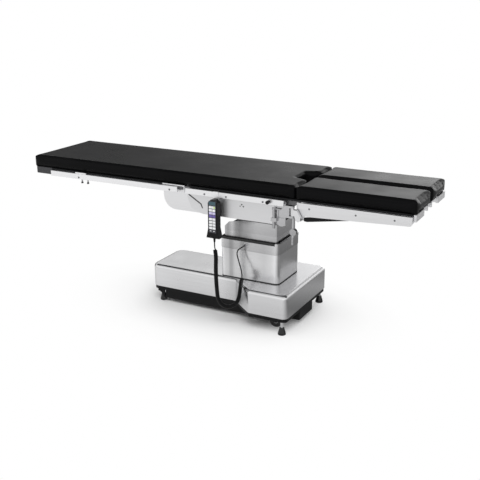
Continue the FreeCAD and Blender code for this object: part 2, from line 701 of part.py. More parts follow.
def build_seat():
    """The frame over the column, its side covers, rails and board."""
    board_top = "pad_bottom - soft_gap"
    board_low = "pad_bottom - soft_gap - board_thickness"
    beams = []
    for side, tag in ((-1, "near"), (1, "far")):
        spans = (f"{side} * seat_beam_inner", f"{side} * seat_beam_outer")
        low, high = spans if side > 0 else spans[::-1]
        points = [("-back_pivot_x - back_lobe_radius", "back_pivot_height - back_lobe_radius"),
                  ("-back_pivot_x + 30", "seat_beam_bottom"), ("seat_foot_x", "seat_beam_bottom"),
                  ("seat_foot_x", board_low), ("-back_pivot_x - back_lobe_radius", board_low)]
        beams.append(extruded(f"seat_beam_{tag}", "XZ", points, low, high))
    rungs = [block(f"seat_rung_{i}", (x, f"{x} + seat_rung"), ("-seat_beam_inner - 1", "seat_beam_inner + 1"),
                   ("seat_beam_bottom + 8", board_low))
             for i, x in enumerate(("-60", "column_x - lug_inner - lug_thickness - 5",
                                    "column_x + lug_inner - 5", "seat_foot_x - seat_rung"), start=1)]
    lugs = []
    for i, side in enumerate((-1, 1), start=1):
        spans = (f"column_x + {side} * lug_inner", f"column_x + {side} * (lug_inner + lug_thickness)")
        low, high = spans if side > 0 else spans[::-1]
        points = [("-lug_half_width * 2.5", "seat_beam_bottom + 12"),
                  ("-lug_half_width", "pivot_height - 6"), ("-14", "pivot_height - 20"),
                  ("14", "pivot_height - 20"), ("lug_half_width", "pivot_height - 6"),
                  ("lug_half_width * 2.5", "seat_beam_bottom + 12")]
        lugs.append(extruded(f"seat_lug_{i}", "YZ", points, low, high))
    arms = []
    for i, x in enumerate(("142", "345", "436"), start=1):
        arms.append(cylinder(f"seat_arm_near_{i}", "y", x, "bolt_height", "9", "-cover_inner", "-seat_beam_outer + 1"))
        arms.append(cylinder(f"seat_arm_far_{i}", "y", x, "bolt_height", "9", "seat_beam_outer - 1", "cover_inner"))
    frame = joined("seat_frame_blank", beams + rungs + lugs + arms)
    bores = [cylinder("seat_lug_bore", "x", "0", "pivot_height", "trunnion_radius + running_gap",
                      "column_x - lug_inner - lug_thickness - 1", "column_x + lug_inner + lug_thickness + 1"),
             cylinder("seat_hinge_bore", "y", "-back_pivot_x", "back_pivot_height",
                      "back_pin_radius + running_gap", "-seat_beam_outer - 1", "seat_beam_outer + 1")]
    node(cut("seat_frame", frame, bores), "seat_frame")

    outer = "cover_inner + cover_thickness"
    left = "-seat_head_x"
    points = [(left, "cover_top - 8"), (f"{left} + 3", "650"), ("-70", "600"), ("-25", "cover_bottom + 5"),
              ("0", "cover_bottom"), ("seat_foot_x", "cover_bottom"), ("seat_foot_x", "cover_top"),
              (f"{left} + 6", "cover_top")]
    cover = extruded("cover_plate", "XZ", points, f"-({outer})", "-cover_inner")
    round_edges(cover, lambda e, b: along_y(e, b) and e.BoundBox.XMin > 400, "cover_corner")
    slit = extruded("cover_slit", "XZ", [("-85", "667"), ("-15", "625"), ("-6", "605"), ("-2", "606"),
                                         ("-12", "628"), ("-83", "671")],
                    f"-({outer}) - 1", "-cover_inner + 1")
    tips = [cylinder(f"cover_hole_{i}", "y", x, z, "2.5", f"-({outer}) - 1", "-cover_inner + 1")
            for i, (x, z) in enumerate((("221", "652"), ("212", "643"), ("230", "643")), start=1)]
    near = cut("seat_cover_near", cover, [slit] + tips)
    both_sides("seat_side_covers", near)

    outline = [("-back_pivot_x + board_reach", "-board_half_width"), ("seam_x - 0.5", "-board_half_width"),
               ("seam_x - 0.5", "-cutout_half_end"), ("cutout_start_x", "-cutout_half_start"),
               ("cutout_start_x", "cutout_half_start"), ("seam_x - 0.5", "cutout_half_end"),
               ("seam_x - 0.5", "board_half_width"), ("-back_pivot_x + board_reach", "board_half_width")]
    node(extruded("seat_board", "XY", outline, board_low, board_top), "seat_board")

    face = "cover_inner + cover_thickness"
    build_rail("seat_rails", "-seat_head_x", "seat_foot_x - 5", (("18", face), ("142", face), ("345", face)),
               ("knob_x",))
    knob = revolved("stop_knob_near",
                    [("0", "-knob_seat"), ("knob_stem_radius", "-knob_seat"), ("knob_stem_radius", "4"),
                     ("knob_radius - 1", "5"), ("knob_radius", "7"), ("knob_radius", "knob_reach - 2"),
                     ("knob_radius - 2", "knob_reach"), ("0", "knob_reach")],
                    "knob_x", "-rail_outer", "rail_top - rail_height / 2", "-y")
    both_sides("rail_stop_knobs", knob)


def build_rail(label, start, end, bolts, knobs=()):
    """A pair of side rails; each bolt gives its place and how far in its spacer reaches."""
    rail = block(label + "_bar", (start, end), ("-rail_outer", "-rail_outer + rail_thickness"),
                 ("rail_top - rail_height", "rail_top"))
    round_edges(rail, lambda e, b: e.BoundBox.XLength > 0.9 * b.XLength, "1.2")
    pieces = [rail]
    for i, (x, inner) in enumerate(bolts, start=1):
        pieces.append(cylinder(f"{label}_spacer_{i}", "y", x, "bolt_height", "8",
                               "-rail_outer + rail_thickness - 1", f"-({inner})"))
    near = joined(label + "_near", pieces)
    sinks = [cylinder(f"{label}_sink_{i}", "y", x, "bolt_height", "bolt_radius + 1", "-rail_outer - 1",
                      "-rail_outer + 2") for i, (x, _) in enumerate(bolts, start=1)]
    seats = [cylinder(f"{label}_knob_seat_{i}", "y", x, "rail_top - rail_height / 2",
                      "knob_stem_radius + running_gap", "-rail_outer - 1", "-rail_outer + knob_seat")
             for i, x in enumerate(knobs, start=1)]
    near = cut(label + "_sunk", near, sinks + seats)
    screws = [cylinder(f"{label}_screw_{i}", "y", x, "bolt_height", "bolt_radius", "-rail_outer + 0.4",
                       "-rail_outer + 2") for i, (x, _) in enumerate(bolts, start=1)]
    far = mirrored(label + "_far", near)
    far_screws = [mirrored(f"{label}_far_screw_{i}", s) for i, s in enumerate(screws, start=1)]
    return node(grouped(label, [near, far] + screws + far_screws), label)


def build_leg_hinge():
    """The sockets at the seat's foot end and everything that turns in them."""
    out = "-swivel_y - ear_radius"
    inn = "-swivel_y + ear_radius"
    low = "knuckle_bottom - ear_height"
    high = "knuckle_top + ear_height"
    gap = "hinge_gap"
    wall = block("socket_wall", ("socket_start_x - 1", "socket_face_x"), (out, inn), (low, high))
    ears = []
    for i, (bottom, top) in enumerate(((low, f"knuckle_bottom - {gap}"), (f"knuckle_top + {gap}", high)), start=1):
        ears.append(block(f"socket_ear_{i}", ("socket_face_x - 1", "swivel_x"), (out, inn), (bottom, top)))
        ears.append(cylinder(f"socket_tip_{i}", "z", "swivel_x", "-swivel_y", "ear_radius", bottom, top))
    lug = block("socket_lever_lug", ("lever_x - lever_rod_radius - 4", "bracket_start_x + 1"),
                ("-lever_y - lever_rod_radius - 4", "-cover_inner - cover_thickness"),
                ("bracket_bottom + 24", "bracket_bottom + 42"))
    post = cylinder("lock_post", "z", "lock_x - 3", "-swivel_y", "lock_neck_radius", "lock_height + 4", f"{low} + 1")
    eye = cylinder("lock_eye", "y", "lock_x", "lock_height", "lock_eye_radius",
                   "-swivel_y - lock_eye_half_width", "-swivel_y + lock_eye_half_width")
    flat = cut("lock_post_flat", post, [
        block(f"lock_flat_{i}", ("lock_x - 20", "lock_x + 20"), span, ("lock_height - 1", "lock_height + lock_radius + 3"))
        for i, span in enumerate((("-swivel_y - 20", "-swivel_y - lock_eye_half_width"),
                                  ("-swivel_y + lock_eye_half_width", "-swivel_y + 20")), start=1)])
    socket = joined("socket_blank", [wall, lug, bracket_plate(), flat, eye] + ears)
    bores = [cylinder("socket_bore", "z", "swivel_x", "-swivel_y", "swivel_pin_radius + running_gap",
                      f"{low} - 1", f"{high} + 1"),
             cylinder("socket_lever_bore", "z", "lever_x", "-lever_y", "lever_rod_radius + running_gap",
                      "lever_rod_bottom - 1", "lever_rod_top + 1"),
             cylinder("lock_eye_bore", "y", "lock_x", "lock_height", "4 + running_gap", "-swivel_y - 20",
                      "-swivel_y + 20")]
    near = cut("socket_near", socket, bores)
    both_sides("leg_sockets", near)

    body = cylinder("knuckle_barrel", "z", "swivel_x", "-swivel_y", "knuckle_radius", "knuckle_bottom", "knuckle_top")
    pin = cylinder("knuckle_pin", "z", "swivel_x", "-swivel_y", "swivel_pin_radius", low, high)
    arm = extruded("knuckle_arm", "XZ",
                   [("swivel_x + 5", "knuckle_bottom + 2.5"), ("swivel_x + ear_radius + 2.5", "knuckle_bottom + 2.5"),
                    ("leg_pivot_x - 13", "leg_pivot_height - 6"), ("leg_pivot_x", "leg_pivot_height - 14"),
                    ("leg_pivot_x + 12", "leg_pivot_height - 6"), ("leg_pivot_x + 12", "leg_pivot_height + 10"),
                    ("leg_pivot_x - 8", "knuckle_top - 8"), ("swivel_x + 5", "knuckle_top - 8")],
                   "-swivel_y - arm_half_width", "-swivel_y + arm_half_width")
    cross_pin = cylinder("knuckle_cross_pin", "y", "leg_pivot_x", "leg_pivot_height", "leg_pin_radius",
                         "-swivel_y", "-leg_plate_inner + 4")
    near = node(joined("leg_knuckle_near", [body, pin, arm, cross_pin]), "leg_knuckle_near")
    node(mirrored("leg_knuckle_far", near), "leg_knuckle_far")

    rod = cylinder("t_lever_rod", "z", "lever_x", "-lever_y", "lever_rod_radius", "lever_rod_bottom",
                   "lever_rod_top")
    cap = cylinder("t_lever_cap", "z", "lever_x", "-lever_y", "lever_rod_radius + 2", "lever_rod_top - 1",
                   "lever_rod_top + 9")
    grip = cylinder("t_lever_grip", "x", "-lever_y", "lever_rod_top + 4", "3.5", "lever_x", "lever_x + lever_reach")
    near = node(joined("t_lever_near", [rod, cap, grip]), "t_lever_near")
    node(mirrored("t_lever_far", near), "t_lever_far")

    boss = cylinder("lock_boss", "y", "lock_x", "lock_height", "lock_radius", "-swivel_y - 12", "-swivel_y + 8")
    slot = block("lock_slot", ("lock_x - lock_radius - 1", "lock_x + lock_radius + 1"),
                 ("-swivel_y - lock_eye_half_width - hinge_gap", "-swivel_y + lock_eye_half_width + hinge_gap"),
                 ("lock_height - lock_eye_radius - 1", "lock_height + lock_radius + 1"))
    pin = cylinder("lock_pin", "y", "lock_x", "lock_height", "4", "-swivel_y - 12", "-swivel_y + 8")
    handle = revolved("lock_grip", [("0", "lock_handle_bottom"), ("lock_handle_radius - 1", "lock_handle_bottom"),
                                    ("lock_handle_radius", "lock_handle_bottom + 2"),
                                    ("lock_handle_radius", "lock_height - 26"),
                                    ("lock_handle_radius - 2", "lock_height - 20"),
                                    ("lock_handle_radius - 2", "lock_height - 11"), ("0", "lock_height - 11")],
                      "lock_x - 4", "-swivel_y - 2")
    near = cut("lock_slotted", boss, [slot])
    near = node(joined("lock_handle_near", [near, pin, handle]), "lock_handle_near")
    node(mirrored("lock_handle_far", near), "lock_handle_far")


def bracket_plate():
    """The round-bottomed bracket with its upright slots."""
    left = "bracket_start_x"
    right = "bracket_start_x + bracket_width"
    outline = [(left, "bracket_bottom"), (right, "bracket_bottom"), (right, "cover_top - 11"), (left, "cover_top - 30")]
    face = "-rail_outer + rail_thickness + hinge_gap"
    plate = extruded("bracket_outline", "XZ", outline, face, "-cover_inner - cover_thickness")
    round_edges(plate, lambda e, b: along_y(e, b) and e.BoundBox.ZMax < 600, "bracket_width / 2 - 1")
    window = block("bracket_window", (f"{left} + bracket_wall", f"{right} - bracket_wall"),
                   (f"{face} - 1", f"{face} + 4"), ("bracket_bottom + 42", "cover_top - 34"))
    return cut("bracket_plate", plate, [window])


def build_back():
    """The back section: ladder frame, board, rails, side plates and the head-end cap."""
    board_top = "pad_bottom - soft_gap"
    board_low = "pad_bottom - soft_gap - board_thickness"
    beams = []
    pins = []
    for side, tag in ((-1, "near"), (1, "far")):
        spans = (f"{side} * back_beam_inner", f"{side} * back_beam_outer")
        low, high = spans if side > 0 else spans[::-1]
        beams.append(block(f"back_beam_{tag}", ("-cap_start_x - 40", "-back_pivot_x"), (low, high),
                           ("back_pivot_height - back_beam_height / 2", "back_pivot_height + back_beam_height / 2")))
        beams.append(cylinder(f"back_lobe_{tag}", "y", "-back_pivot_x", "back_pivot_height",
                              "back_lobe_radius", low, high))
        reach = (f"{side} * seat_beam_inner", f"{side} * (back_beam_outer - 2)")
        low, high = reach if side > 0 else reach[::-1]
        pins.append(cylinder(f"back_pin_{tag}", "y", "-back_pivot_x", "back_pivot_height", "back_pin_radius",
                             low, high))
    rungs = [block(f"back_rung_{i}", (x, f"{x} + 30"), ("-back_beam_inner - 1", "back_beam_inner + 1"),
                   ("back_pivot_height - 10", board_low))
             for i, x in enumerate(("-cap_start_x - 35", "-700", "-430", "-170"), start=1)]
    node(joined("back_frame", beams + pins + rungs), "back_frame")
    node(block("back_board", ("-cap_start_x", "-back_pivot_x - board_reach"),
               ("-board_half_width", "board_half_width"), (board_low, board_top)), "back_board")

    outer = "torso_plate_inner + torso_plate_thickness"
    build_rail("back_rails", "-970", "-144", (("-776", "back_beam_outer"), ("-190", outer)))
    curve = torso_outline()
    plate = extruded("torso_plate_near", "XZ", curve, f"-({outer})", "-back_beam_outer")
    lip = extruded("corner_bracket_near", "XZ",
                   [("-240", "706"), ("-112", "706"), ("-112", "674"), ("-107", "674"), ("-107", "712"), ("-240", "712")],
                   "-board_half_width - 3", "-board_half_width")
    plates = [plate, mirrored("torso_plate_far", plate), lip, mirrored("corner_bracket_far", lip)]
    node(grouped("back_side_plates", plates), "back_side_plates")

    cap = block("cap_outside", ("-cap_end_x", "-cap_start_x"), ("-board_half_width", "board_half_width"),
                ("cap_bottom", board_top))
    round_edges(cap, lambda e, b: upright(e, b) and e.BoundBox.XMax < -1000, "12")
    recess = block("cap_recess", ("-cap_start_x - 50", "-cap_start_x + 1"), ("-back_beam_outer - 1", "back_beam_outer + 1"),
                   ("cap_bottom - 1", board_low))
    node(cut("head_end_cap", cap, [recess]), "head_end_cap")


def torso_outline():
    """The side plate of the back section, with its lower head-end corner as an arc of points."""
    left, right, top, bottom = -241.0, 20.0, 685.0, 576.0
    radius = 70.0
    points = [(right, bottom), (right - 50, bottom + 60), (-112.0, top), (left, top)]
    centre_x, centre_z = left + radius, bottom + radius
    for step in range(7):
        angle = math.radians(180 + 15 * step)
        points.append((centre_x + radius * math.cos(angle), centre_z + radius * math.sin(angle)))
    return [(str(round(x, 3)), str(round(z, 3))) for x, z in points]


def build_legs():
    """The two leg sections, each with its frame, board and release lever."""
    board_top = "pad_bottom - soft_gap"
    board_low = "pad_bottom - soft_gap - board_thickness"
    outer = "leg_plate_inner + leg_plate_thickness"
    plate = extruded("leg_plate", "XZ",
                     [("leg_start_x", "leg_plate_low + 8"), ("leg_start_x + 26", "leg_plate_low"),
                      ("leg_end_x - 20", "leg_plate_rise"), ("leg_end_x + 3", "leg_plate_top - 12"),
                      ("leg_end_x - 7", "leg_plate_top"), ("leg_start_x", "leg_plate_top")],
                     f"-({outer})", "-leg_plate_inner")
    lobe = cylinder("leg_lobe", "y", "leg_pivot_x", "leg_pivot_height", "lobe_radius", f"-({outer})",
                    "-leg_plate_inner")
    neck = block("leg_neck", ("leg_pivot_x - lobe_radius + 1", "leg_pivot_x + lobe_radius + 6"),
                 (f"-({outer})", "-leg_plate_inner"), ("leg_pivot_height", "leg_plate_low + 20"))
    beam = block("leg_inner_beam", ("leg_start_x + 16", "leg_end_x"),
                 ("-leg_beam_inner - leg_beam_thickness", "-leg_beam_inner"),
                 (f"{board_low} - leg_beam_height", board_low))
    rungs = [block(f"leg_rung_{i}", (x, f"{x} + 24"), ("-leg_plate_inner - 1", "-leg_beam_inner - 1"),
                   (f"{board_low} - leg_beam_height + 4", board_low))
             for i, x in enumerate(("leg_start_x + 26", "760", "leg_end_x - 60"), start=1)]
    end_bar = block("leg_end_bar", ("leg_end_x - 4", "leg_end_x + 8"), ("-board_half_width", "-120"),
                    ("680", board_top))
    strip = block("leg_top_strip", ("leg_start_x + 30", "leg_end_x"), (f"-({outer})", "-leg_plate_inner"),
                  ("leg_plate_top - 1", board_low))
    rail = block("leg_rail", ("leg_start_x + 22", "leg_end_x - 6"), ("-rail_outer", "-rail_outer + rail_thickness"),
                 ("rail_top - rail_height", "rail_top"))
    spacers = [cylinder(f"leg_spacer_{i}", "y", x, "bolt_height - 5", "8", "-rail_outer + rail_thickness - 1",
                        f"-({outer}) + 1") for i, x in enumerate(("589", "820", "1004"), start=1)]
    sinks = [cylinder(f"leg_sink_{i}", "y", x, "bolt_height - 5", "bolt_radius", "-rail_outer - 1",
                      "-rail_outer + 1.5") for i, x in enumerate(("589", "820", "1004"), start=1)]
    ears = [block(f"release_ear_{i}", ("release_pivot_x - 10", "release_pivot_x + 12"),
                  (f"-release_y + {a}", f"-release_y + {b}"),
                  ("release_pivot_height - 8", f"{board_low} - leg_beam_height + 5"))
            for i, (a, b) in enumerate((("-release_half_width - 4.3", "-release_half_width - 0.3"),
                                        ("release_half_width + 0.3", "release_half_width + 4.3")), start=1)]
    shelf = block("release_shelf", ("release_pivot_x - 30", "release_pivot_x + 12"),
                  ("-leg_plate_inner - 1", "-release_y + release_half_width + 12"),
                  (f"{board_low} - leg_beam_height + 4", f"{board_low} - leg_beam_height + 10"))
    blank = joined("leg_frame_blank", [plate, lobe, neck, beam, end_bar, strip, rail, shelf] + rungs + spacers + ears)
    bores = [cylinder("leg_pivot_bore", "y", "leg_pivot_x", "leg_pivot_height", "leg_pin_radius + running_gap",
                      f"-({outer}) - 1", "-leg_plate_inner + 1"),
             cylinder("release_bore", "y", "release_pivot_x", "release_pivot_height", "3 + running_gap",
                      "-release_y - release_half_width - 5", "-release_y + release_half_width + 5")]
    near = node(cut("leg_frame_near", blank, bores + sinks), "leg_frame_near")
    node(mirrored("leg_frame_far", near), "leg_frame_far")

    near = node(block("leg_board_near", ("seam_x + 1", "leg_end_x - 4.3"), ("-board_half_width", "-leg_gap / 2"),
                      (board_low, board_top)), "leg_board_near")
    node(mirrored("leg_board_far", near), "leg_board_far")

    lever = extruded("release_bar", "XZ",
                     [("release_tip_x", "606"), ("release_tip_x + 18", "604"), ("release_pivot_x + 8", "release_pivot_height - 7"),
                      ("release_pivot_x + 8", "release_pivot_height + 7"), ("release_pivot_x - 6", "release_pivot_height + 7"),
                      ("release_tip_x", "622")],
                     "-release_y - release_half_width", "-release_y + release_half_width")
    round_edges(lever, lambda e, b: along_y(e, b) and e.BoundBox.XMax < 580, "7")
    pin = cylinder("release_pin", "y", "release_pivot_x", "release_pivot_height", "3",
                   "-release_y - release_half_width - 4", "-release_y + release_half_width + 4")
    near = node(joined("release_lever_near", [lever, pin]), "release_lever_near")
    node(mirrored("release_lever_far", near), "release_lever_far")


def pad_block(label, outline):
    """A pad as a plain closed solid with softly rounded top edges."""
    body = extruded(label, "XY", outline, "pad_bottom", "pad_bottom + pad_thickness")
    return node(round_edges(body, around_top, "pad_corner", "Chamfer", "Size"), label)


def build_pads():
    """The back and seat cushion with its fold, and the two leg cushions."""
    wide = "pad_half_width"

    def strip(start, end):
        return [(start, f"-{wide}"), (end, f"-{wide}"), (end, wide), (start, wide)]

    pad_block("back_pad", strip("-top_half_length", "-back_pivot_x - fold_reach"))
    pad_block("pad_fold", strip("-back_pivot_x - fold_reach", "-back_pivot_x + fold_reach"))
    seam = "seam_x - soft_gap"
    seat = [("-back_pivot_x + fold_reach", f"-{wide}"), (seam, f"-{wide}"), (seam, "-cutout_half_end"),
            ("cutout_start_x", "-cutout_half_start"), ("cutout_start_x", "cutout_half_start"),
            (seam, "cutout_half_end"), (seam, wide), ("-back_pivot_x + fold_reach", wide)]
    pad_block("seat_pad", seat)
    near = pad_block("leg_pad_near", [("seam_x + soft_gap", f"-{wide}"), ("top_half_length", f"-{wide}"),
                                      ("top_half_length", "-leg_gap / 2"), ("seam_x + soft_gap", "-leg_gap / 2")])
    node(mirrored("leg_pad_far", near), "leg_pad_far")


def build_handset():
    """The hand control and the sheet-metal hook that hangs it on the seat rail."""
    half, foot = "handset_half_width", "handset_half_foot"
    centre = "handset_x"
    low, high = "handset_bottom", "handset_top"
    back = "-rail_outer - soft_gap - hook_thickness"
    waist = f"{low} + 52"
    outline = [(f"{centre} - {foot}", low), (f"{centre} + {foot}", low), (f"{centre} + {half}", waist),
               (f"{centre} + {half}", f"{high} - 16"), (f"{centre} + {half} - 16", high),
               (f"{centre} - {half} + 16", high), (f"{centre} - {half}", f"{high} - 16"), (f"{centre} - {half}", waist)]
    body = extruded("handset_case", "XZ", outline, f"{back} - handset_depth", back)
    round_edges(body, around_front, "3")
    gland = revolved("handset_gland", [("0", "-24"), ("4.5", "-24"), ("6.5", "-4"), ("7", "0"), ("7", "2"), ("0", "2")],
                     centre, f"{back} - handset_depth / 2", low)
    node(joined("handset", [body, gland]), "handset")
    width = (f"{centre} - hook_half_width", f"{centre} + hook_half_width")
    inside = "-rail_outer + rail_thickness + soft_gap"
    strap = block("hook_strap", width, (back, "-rail_outer - soft_gap"),
                  ("handset_top - 30", "rail_top + soft_gap + hook_thickness"))
    over = block("hook_over", width, (back, f"{inside} + hook_thickness"),
                 ("rail_top + soft_gap", "rail_top + soft_gap + hook_thickness"))
    drop = block("hook_drop", width, (inside, f"{inside} + hook_thickness"),
                 ("rail_top - 16", "rail_top + soft_gap + hook_thickness"))
    node(joined("handset_hook", [strap, over, drop]), "handset_hook")


def cord_path(points):
    """Straight runs joined by tangent arcs through a hand-chosen list of points."""
    spots = [Vector(*p) for p in points]
    edges = []
    start = spots[0]
    radii = []
    for before, corner, after in zip(spots, spots[1:], spots[2:]):
        back = before - corner
        ahead = after - corner
        reach = 0.45 * min(back.Length, ahead.Length)
        turn = math.pi - back.getAngle(ahead)
        radii.append(reach / math.tan(turn / 2))
        first = corner + back.normalize() * reach
        last = corner + ahead.normalize() * reach
        inward = (back + ahead).normalize()
        middle = corner + inward * (reach / math.cos((math.pi - turn) / 2) - radii[-1])
        edges.append(Part.LineSegment(start, first).toShape())
        edges.append(Part.Arc(first, middle, last).toShape())
        start = last
    edges.append(Part.LineSegment(start, spots[-1]).toShape())
    print("cord radii", [round(r, 1) for r in radii])
    return Part.Wire(edges)


def cord_tube(label, points, diameter):
    """A round tube along a cord's path, made by sweeping its section."""
    path = cord_path(points)
    heading = Vector(*points[1]) - Vector(*points[0])
    section = Part.Wire(Part.makeCircle(diameter / 2, Vector(*points[0]), heading))
    solid = path.makePipeShell([section], True, False)
    expected = math.pi * diameter ** 2 / 4 * path.Length
    print(label, "length", round(path.Length, 1), "volume ratio", round(solid.Volume / expected, 4))
    piece = new("Part::Feature", label)
    piece.Shape = solid
    return node(piece, label)


def build_cord():
    """The curly cord from the hand control to its plug on the column."""
    thin, fat = SIZES["cord_diameter"], SIZES["coil_diameter"]
    coil = [(87, -282, 408.5), (91, -280, 369.5), (88, -279, 305), (89, -279, 240), (94, -280, 183),
            (98, -280, 143), (117, -279, 114), (150, -276, 103), (183, -266, 114), (204, -252, 143),
            (203, -231, 196), (197, -205, 238)]
    low_tail = [(85, -283, 449), (85, -283, 428), coil[0]]
    top_tail = [coil[-1], (194, -192, 259), (183, -183, 287), (170, -177, 315), (160, -175, 343),
                (157, -180, 367), (164, -184, 386), (175, -182, 398), (184, -170, 403), (184, -154, 403)]
    cord_tube("cord_tail_low", low_tail, thin)
    cord_tube("cord_coil", coil, fat)
    cord_tube("cord_tail_top", top_tail, thin)
    profile = [("0", "0"), ("11", "0"), ("11", "4"), ("8", "5"), ("8", "14"), ("5", "22"), ("0", "22")]
    node(revolved("cord_plug", profile, "184", "-lower_half_width - collar_proud",
                  "lower_top - 17", "-y"), "cord_plug")


def check_document():
    """Stop if any object failed or any sub-part is empty or invalid."""
    for thing in DOC.Objects:
        if "Invalid" in thing.State or "Error" in thing.State:
            raise RuntimeError(f"{thing.Label} did not recompute: {thing.State}")
    for label, thing in NODES.items():
        shape = thing.Shape
        if shape.isNull() or not shape.isValid() or not shape.Solids:
            raise RuntimeError(f"{label} has no valid solid")


def main():
    """Build every sub-part and write its file."""
    fill_sheet()
    build_base()
    build_feet()
    build_castors()
    build_column()
    build_tilt_head()
    build_seat()
    build_leg_hinge()
    build_back()
    build_legs()
    build_pads()
    build_handset()
    build_cord()
    DOC.recompute()
    check_document()
    os.makedirs("parts", exist_ok=True)
    for label, thing in NODES.items():
        thing.Shape.exportStep(f"parts/{label}.step")
    print(len(NODES), "sub-parts written")


main()
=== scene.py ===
"""Dressed model of an operating table: cushions, metal finishes, hand control and curly cord.

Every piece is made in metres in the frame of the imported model: X along the table to the foot end,
Y across it away from the viewer, Z up from the floor.
"""

import logging
import math
from dataclasses import dataclass
from enum import Enum

import bmesh
import bpy
from mathutils import Matrix, Vector


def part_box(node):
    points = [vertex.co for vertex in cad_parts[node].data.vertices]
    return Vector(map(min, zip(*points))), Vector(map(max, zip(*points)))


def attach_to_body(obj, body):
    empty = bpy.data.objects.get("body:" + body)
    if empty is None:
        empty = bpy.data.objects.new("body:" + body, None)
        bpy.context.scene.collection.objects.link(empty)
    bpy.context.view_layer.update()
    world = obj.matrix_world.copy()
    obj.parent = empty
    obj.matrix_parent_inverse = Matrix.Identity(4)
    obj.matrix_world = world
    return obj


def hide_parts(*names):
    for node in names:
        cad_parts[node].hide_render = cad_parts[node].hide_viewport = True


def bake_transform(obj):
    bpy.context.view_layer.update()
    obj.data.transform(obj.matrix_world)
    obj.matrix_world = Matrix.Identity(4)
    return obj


LOG = logging.getLogger("operating_table")
MM = 0.001

Piece = bpy.types.Object
Material = bpy.types.Material
NodeTree = bpy.types.NodeTree
Socket = bpy.types.NodeSocket
Coordinates = bpy.types.ShaderNodeTexCoord
Mesher = bmesh.types.BMesh


class Side(Enum):
    """The two long sides of the table."""

    NEAR = -1
    FAR = 1

    @property
    def tag(self) -> str:
        """The word that this side's nodes and bodies end in."""
        return self.name.lower()


def link(mesh: bpy.types.Mesh, name: str) -> Piece:
    """Put a mesh in the scene as an object at the origin.

    Args:
        mesh: the finished mesh.
        name: the piece's name.

    Returns:
        The new object.
    """
    piece = bpy.data.objects.new(name, mesh)
    bpy.context.scene.collection.objects.link(piece)
    return piece


def finish_mesh(bm: Mesher, name: str, smooth: bool = True) -> Piece:
    """Close a bmesh into an object with outward faces.

    Args:
        bm: the bmesh, which is freed.
        name: the piece's name.
        smooth: whether its faces are shaded smooth.

    Returns:
        The new object.
    """
    bmesh.ops.remove_doubles(bm, verts=bm.verts[:], dist=1e-6)
    bmesh.ops.recalc_face_normals(bm, faces=bm.faces[:])
    for face in bm.faces:
        face.smooth = smooth
    mesh = bpy.data.meshes.new(name)
    bm.to_mesh(mesh)
    bm.free()
    return link(mesh, name)


def round_off(bm: Mesher, edges: list, width: float, segments: int) -> None:
    """Round some edges of a bmesh.

    Args:
        bm: the bmesh.
        edges: the edges to round.
        width: how far the rounding reaches.
        segments: how many faces it has.
    """
    bmesh.ops.bevel(bm, geom=edges, offset=width, segments=segments, profile=0.5, affect="EDGES", material=-1)


def add_box(bm: Mesher, low: Vector, high: Vector, bevel: float, segments: int = 2) -> None:
    """Add a bevelled box to a bmesh.

    Args:
        bm: where it goes.
        low: its lowest corner.
        high: its highest corner.
        bevel: the width of its bevels.
        segments: how many faces each bevel has.
    """
    middle = (low + high) / 2
    size = high - low
    place = Matrix.Translation(middle) @ Matrix.Diagonal((*size, 1.0))
    made = bmesh.ops.create_cube(bm, size=1.0, matrix=place)
    edges = list({edge for vert in made["verts"] for edge in vert.link_edges})
    if bevel > 0:
        round_off(bm, edges, bevel, segments)


def add_disc(bm: Mesher, centre: Vector, axis: Vector, radius: float, depth: float,
             segments: int = 24) -> list[bmesh.types.BMVert]:
    """Add a closed cylinder to a bmesh.

    Args:
        bm: where it goes.
        centre: its middle.
        axis: the way it points.
        radius: its radius.
        depth: its length along the axis.
        segments: how many sides it has.

    Returns:
        Its vertices.
    """
    turn = Vector((0, 0, 1)).rotation_difference(axis).to_matrix().to_4x4()
    place = Matrix.Translation(centre) @ turn
    made = bmesh.ops.create_cone(bm, cap_ends=True, segments=segments, radius1=radius, radius2=radius,
                                 depth=depth, matrix=place)
    return made["verts"]


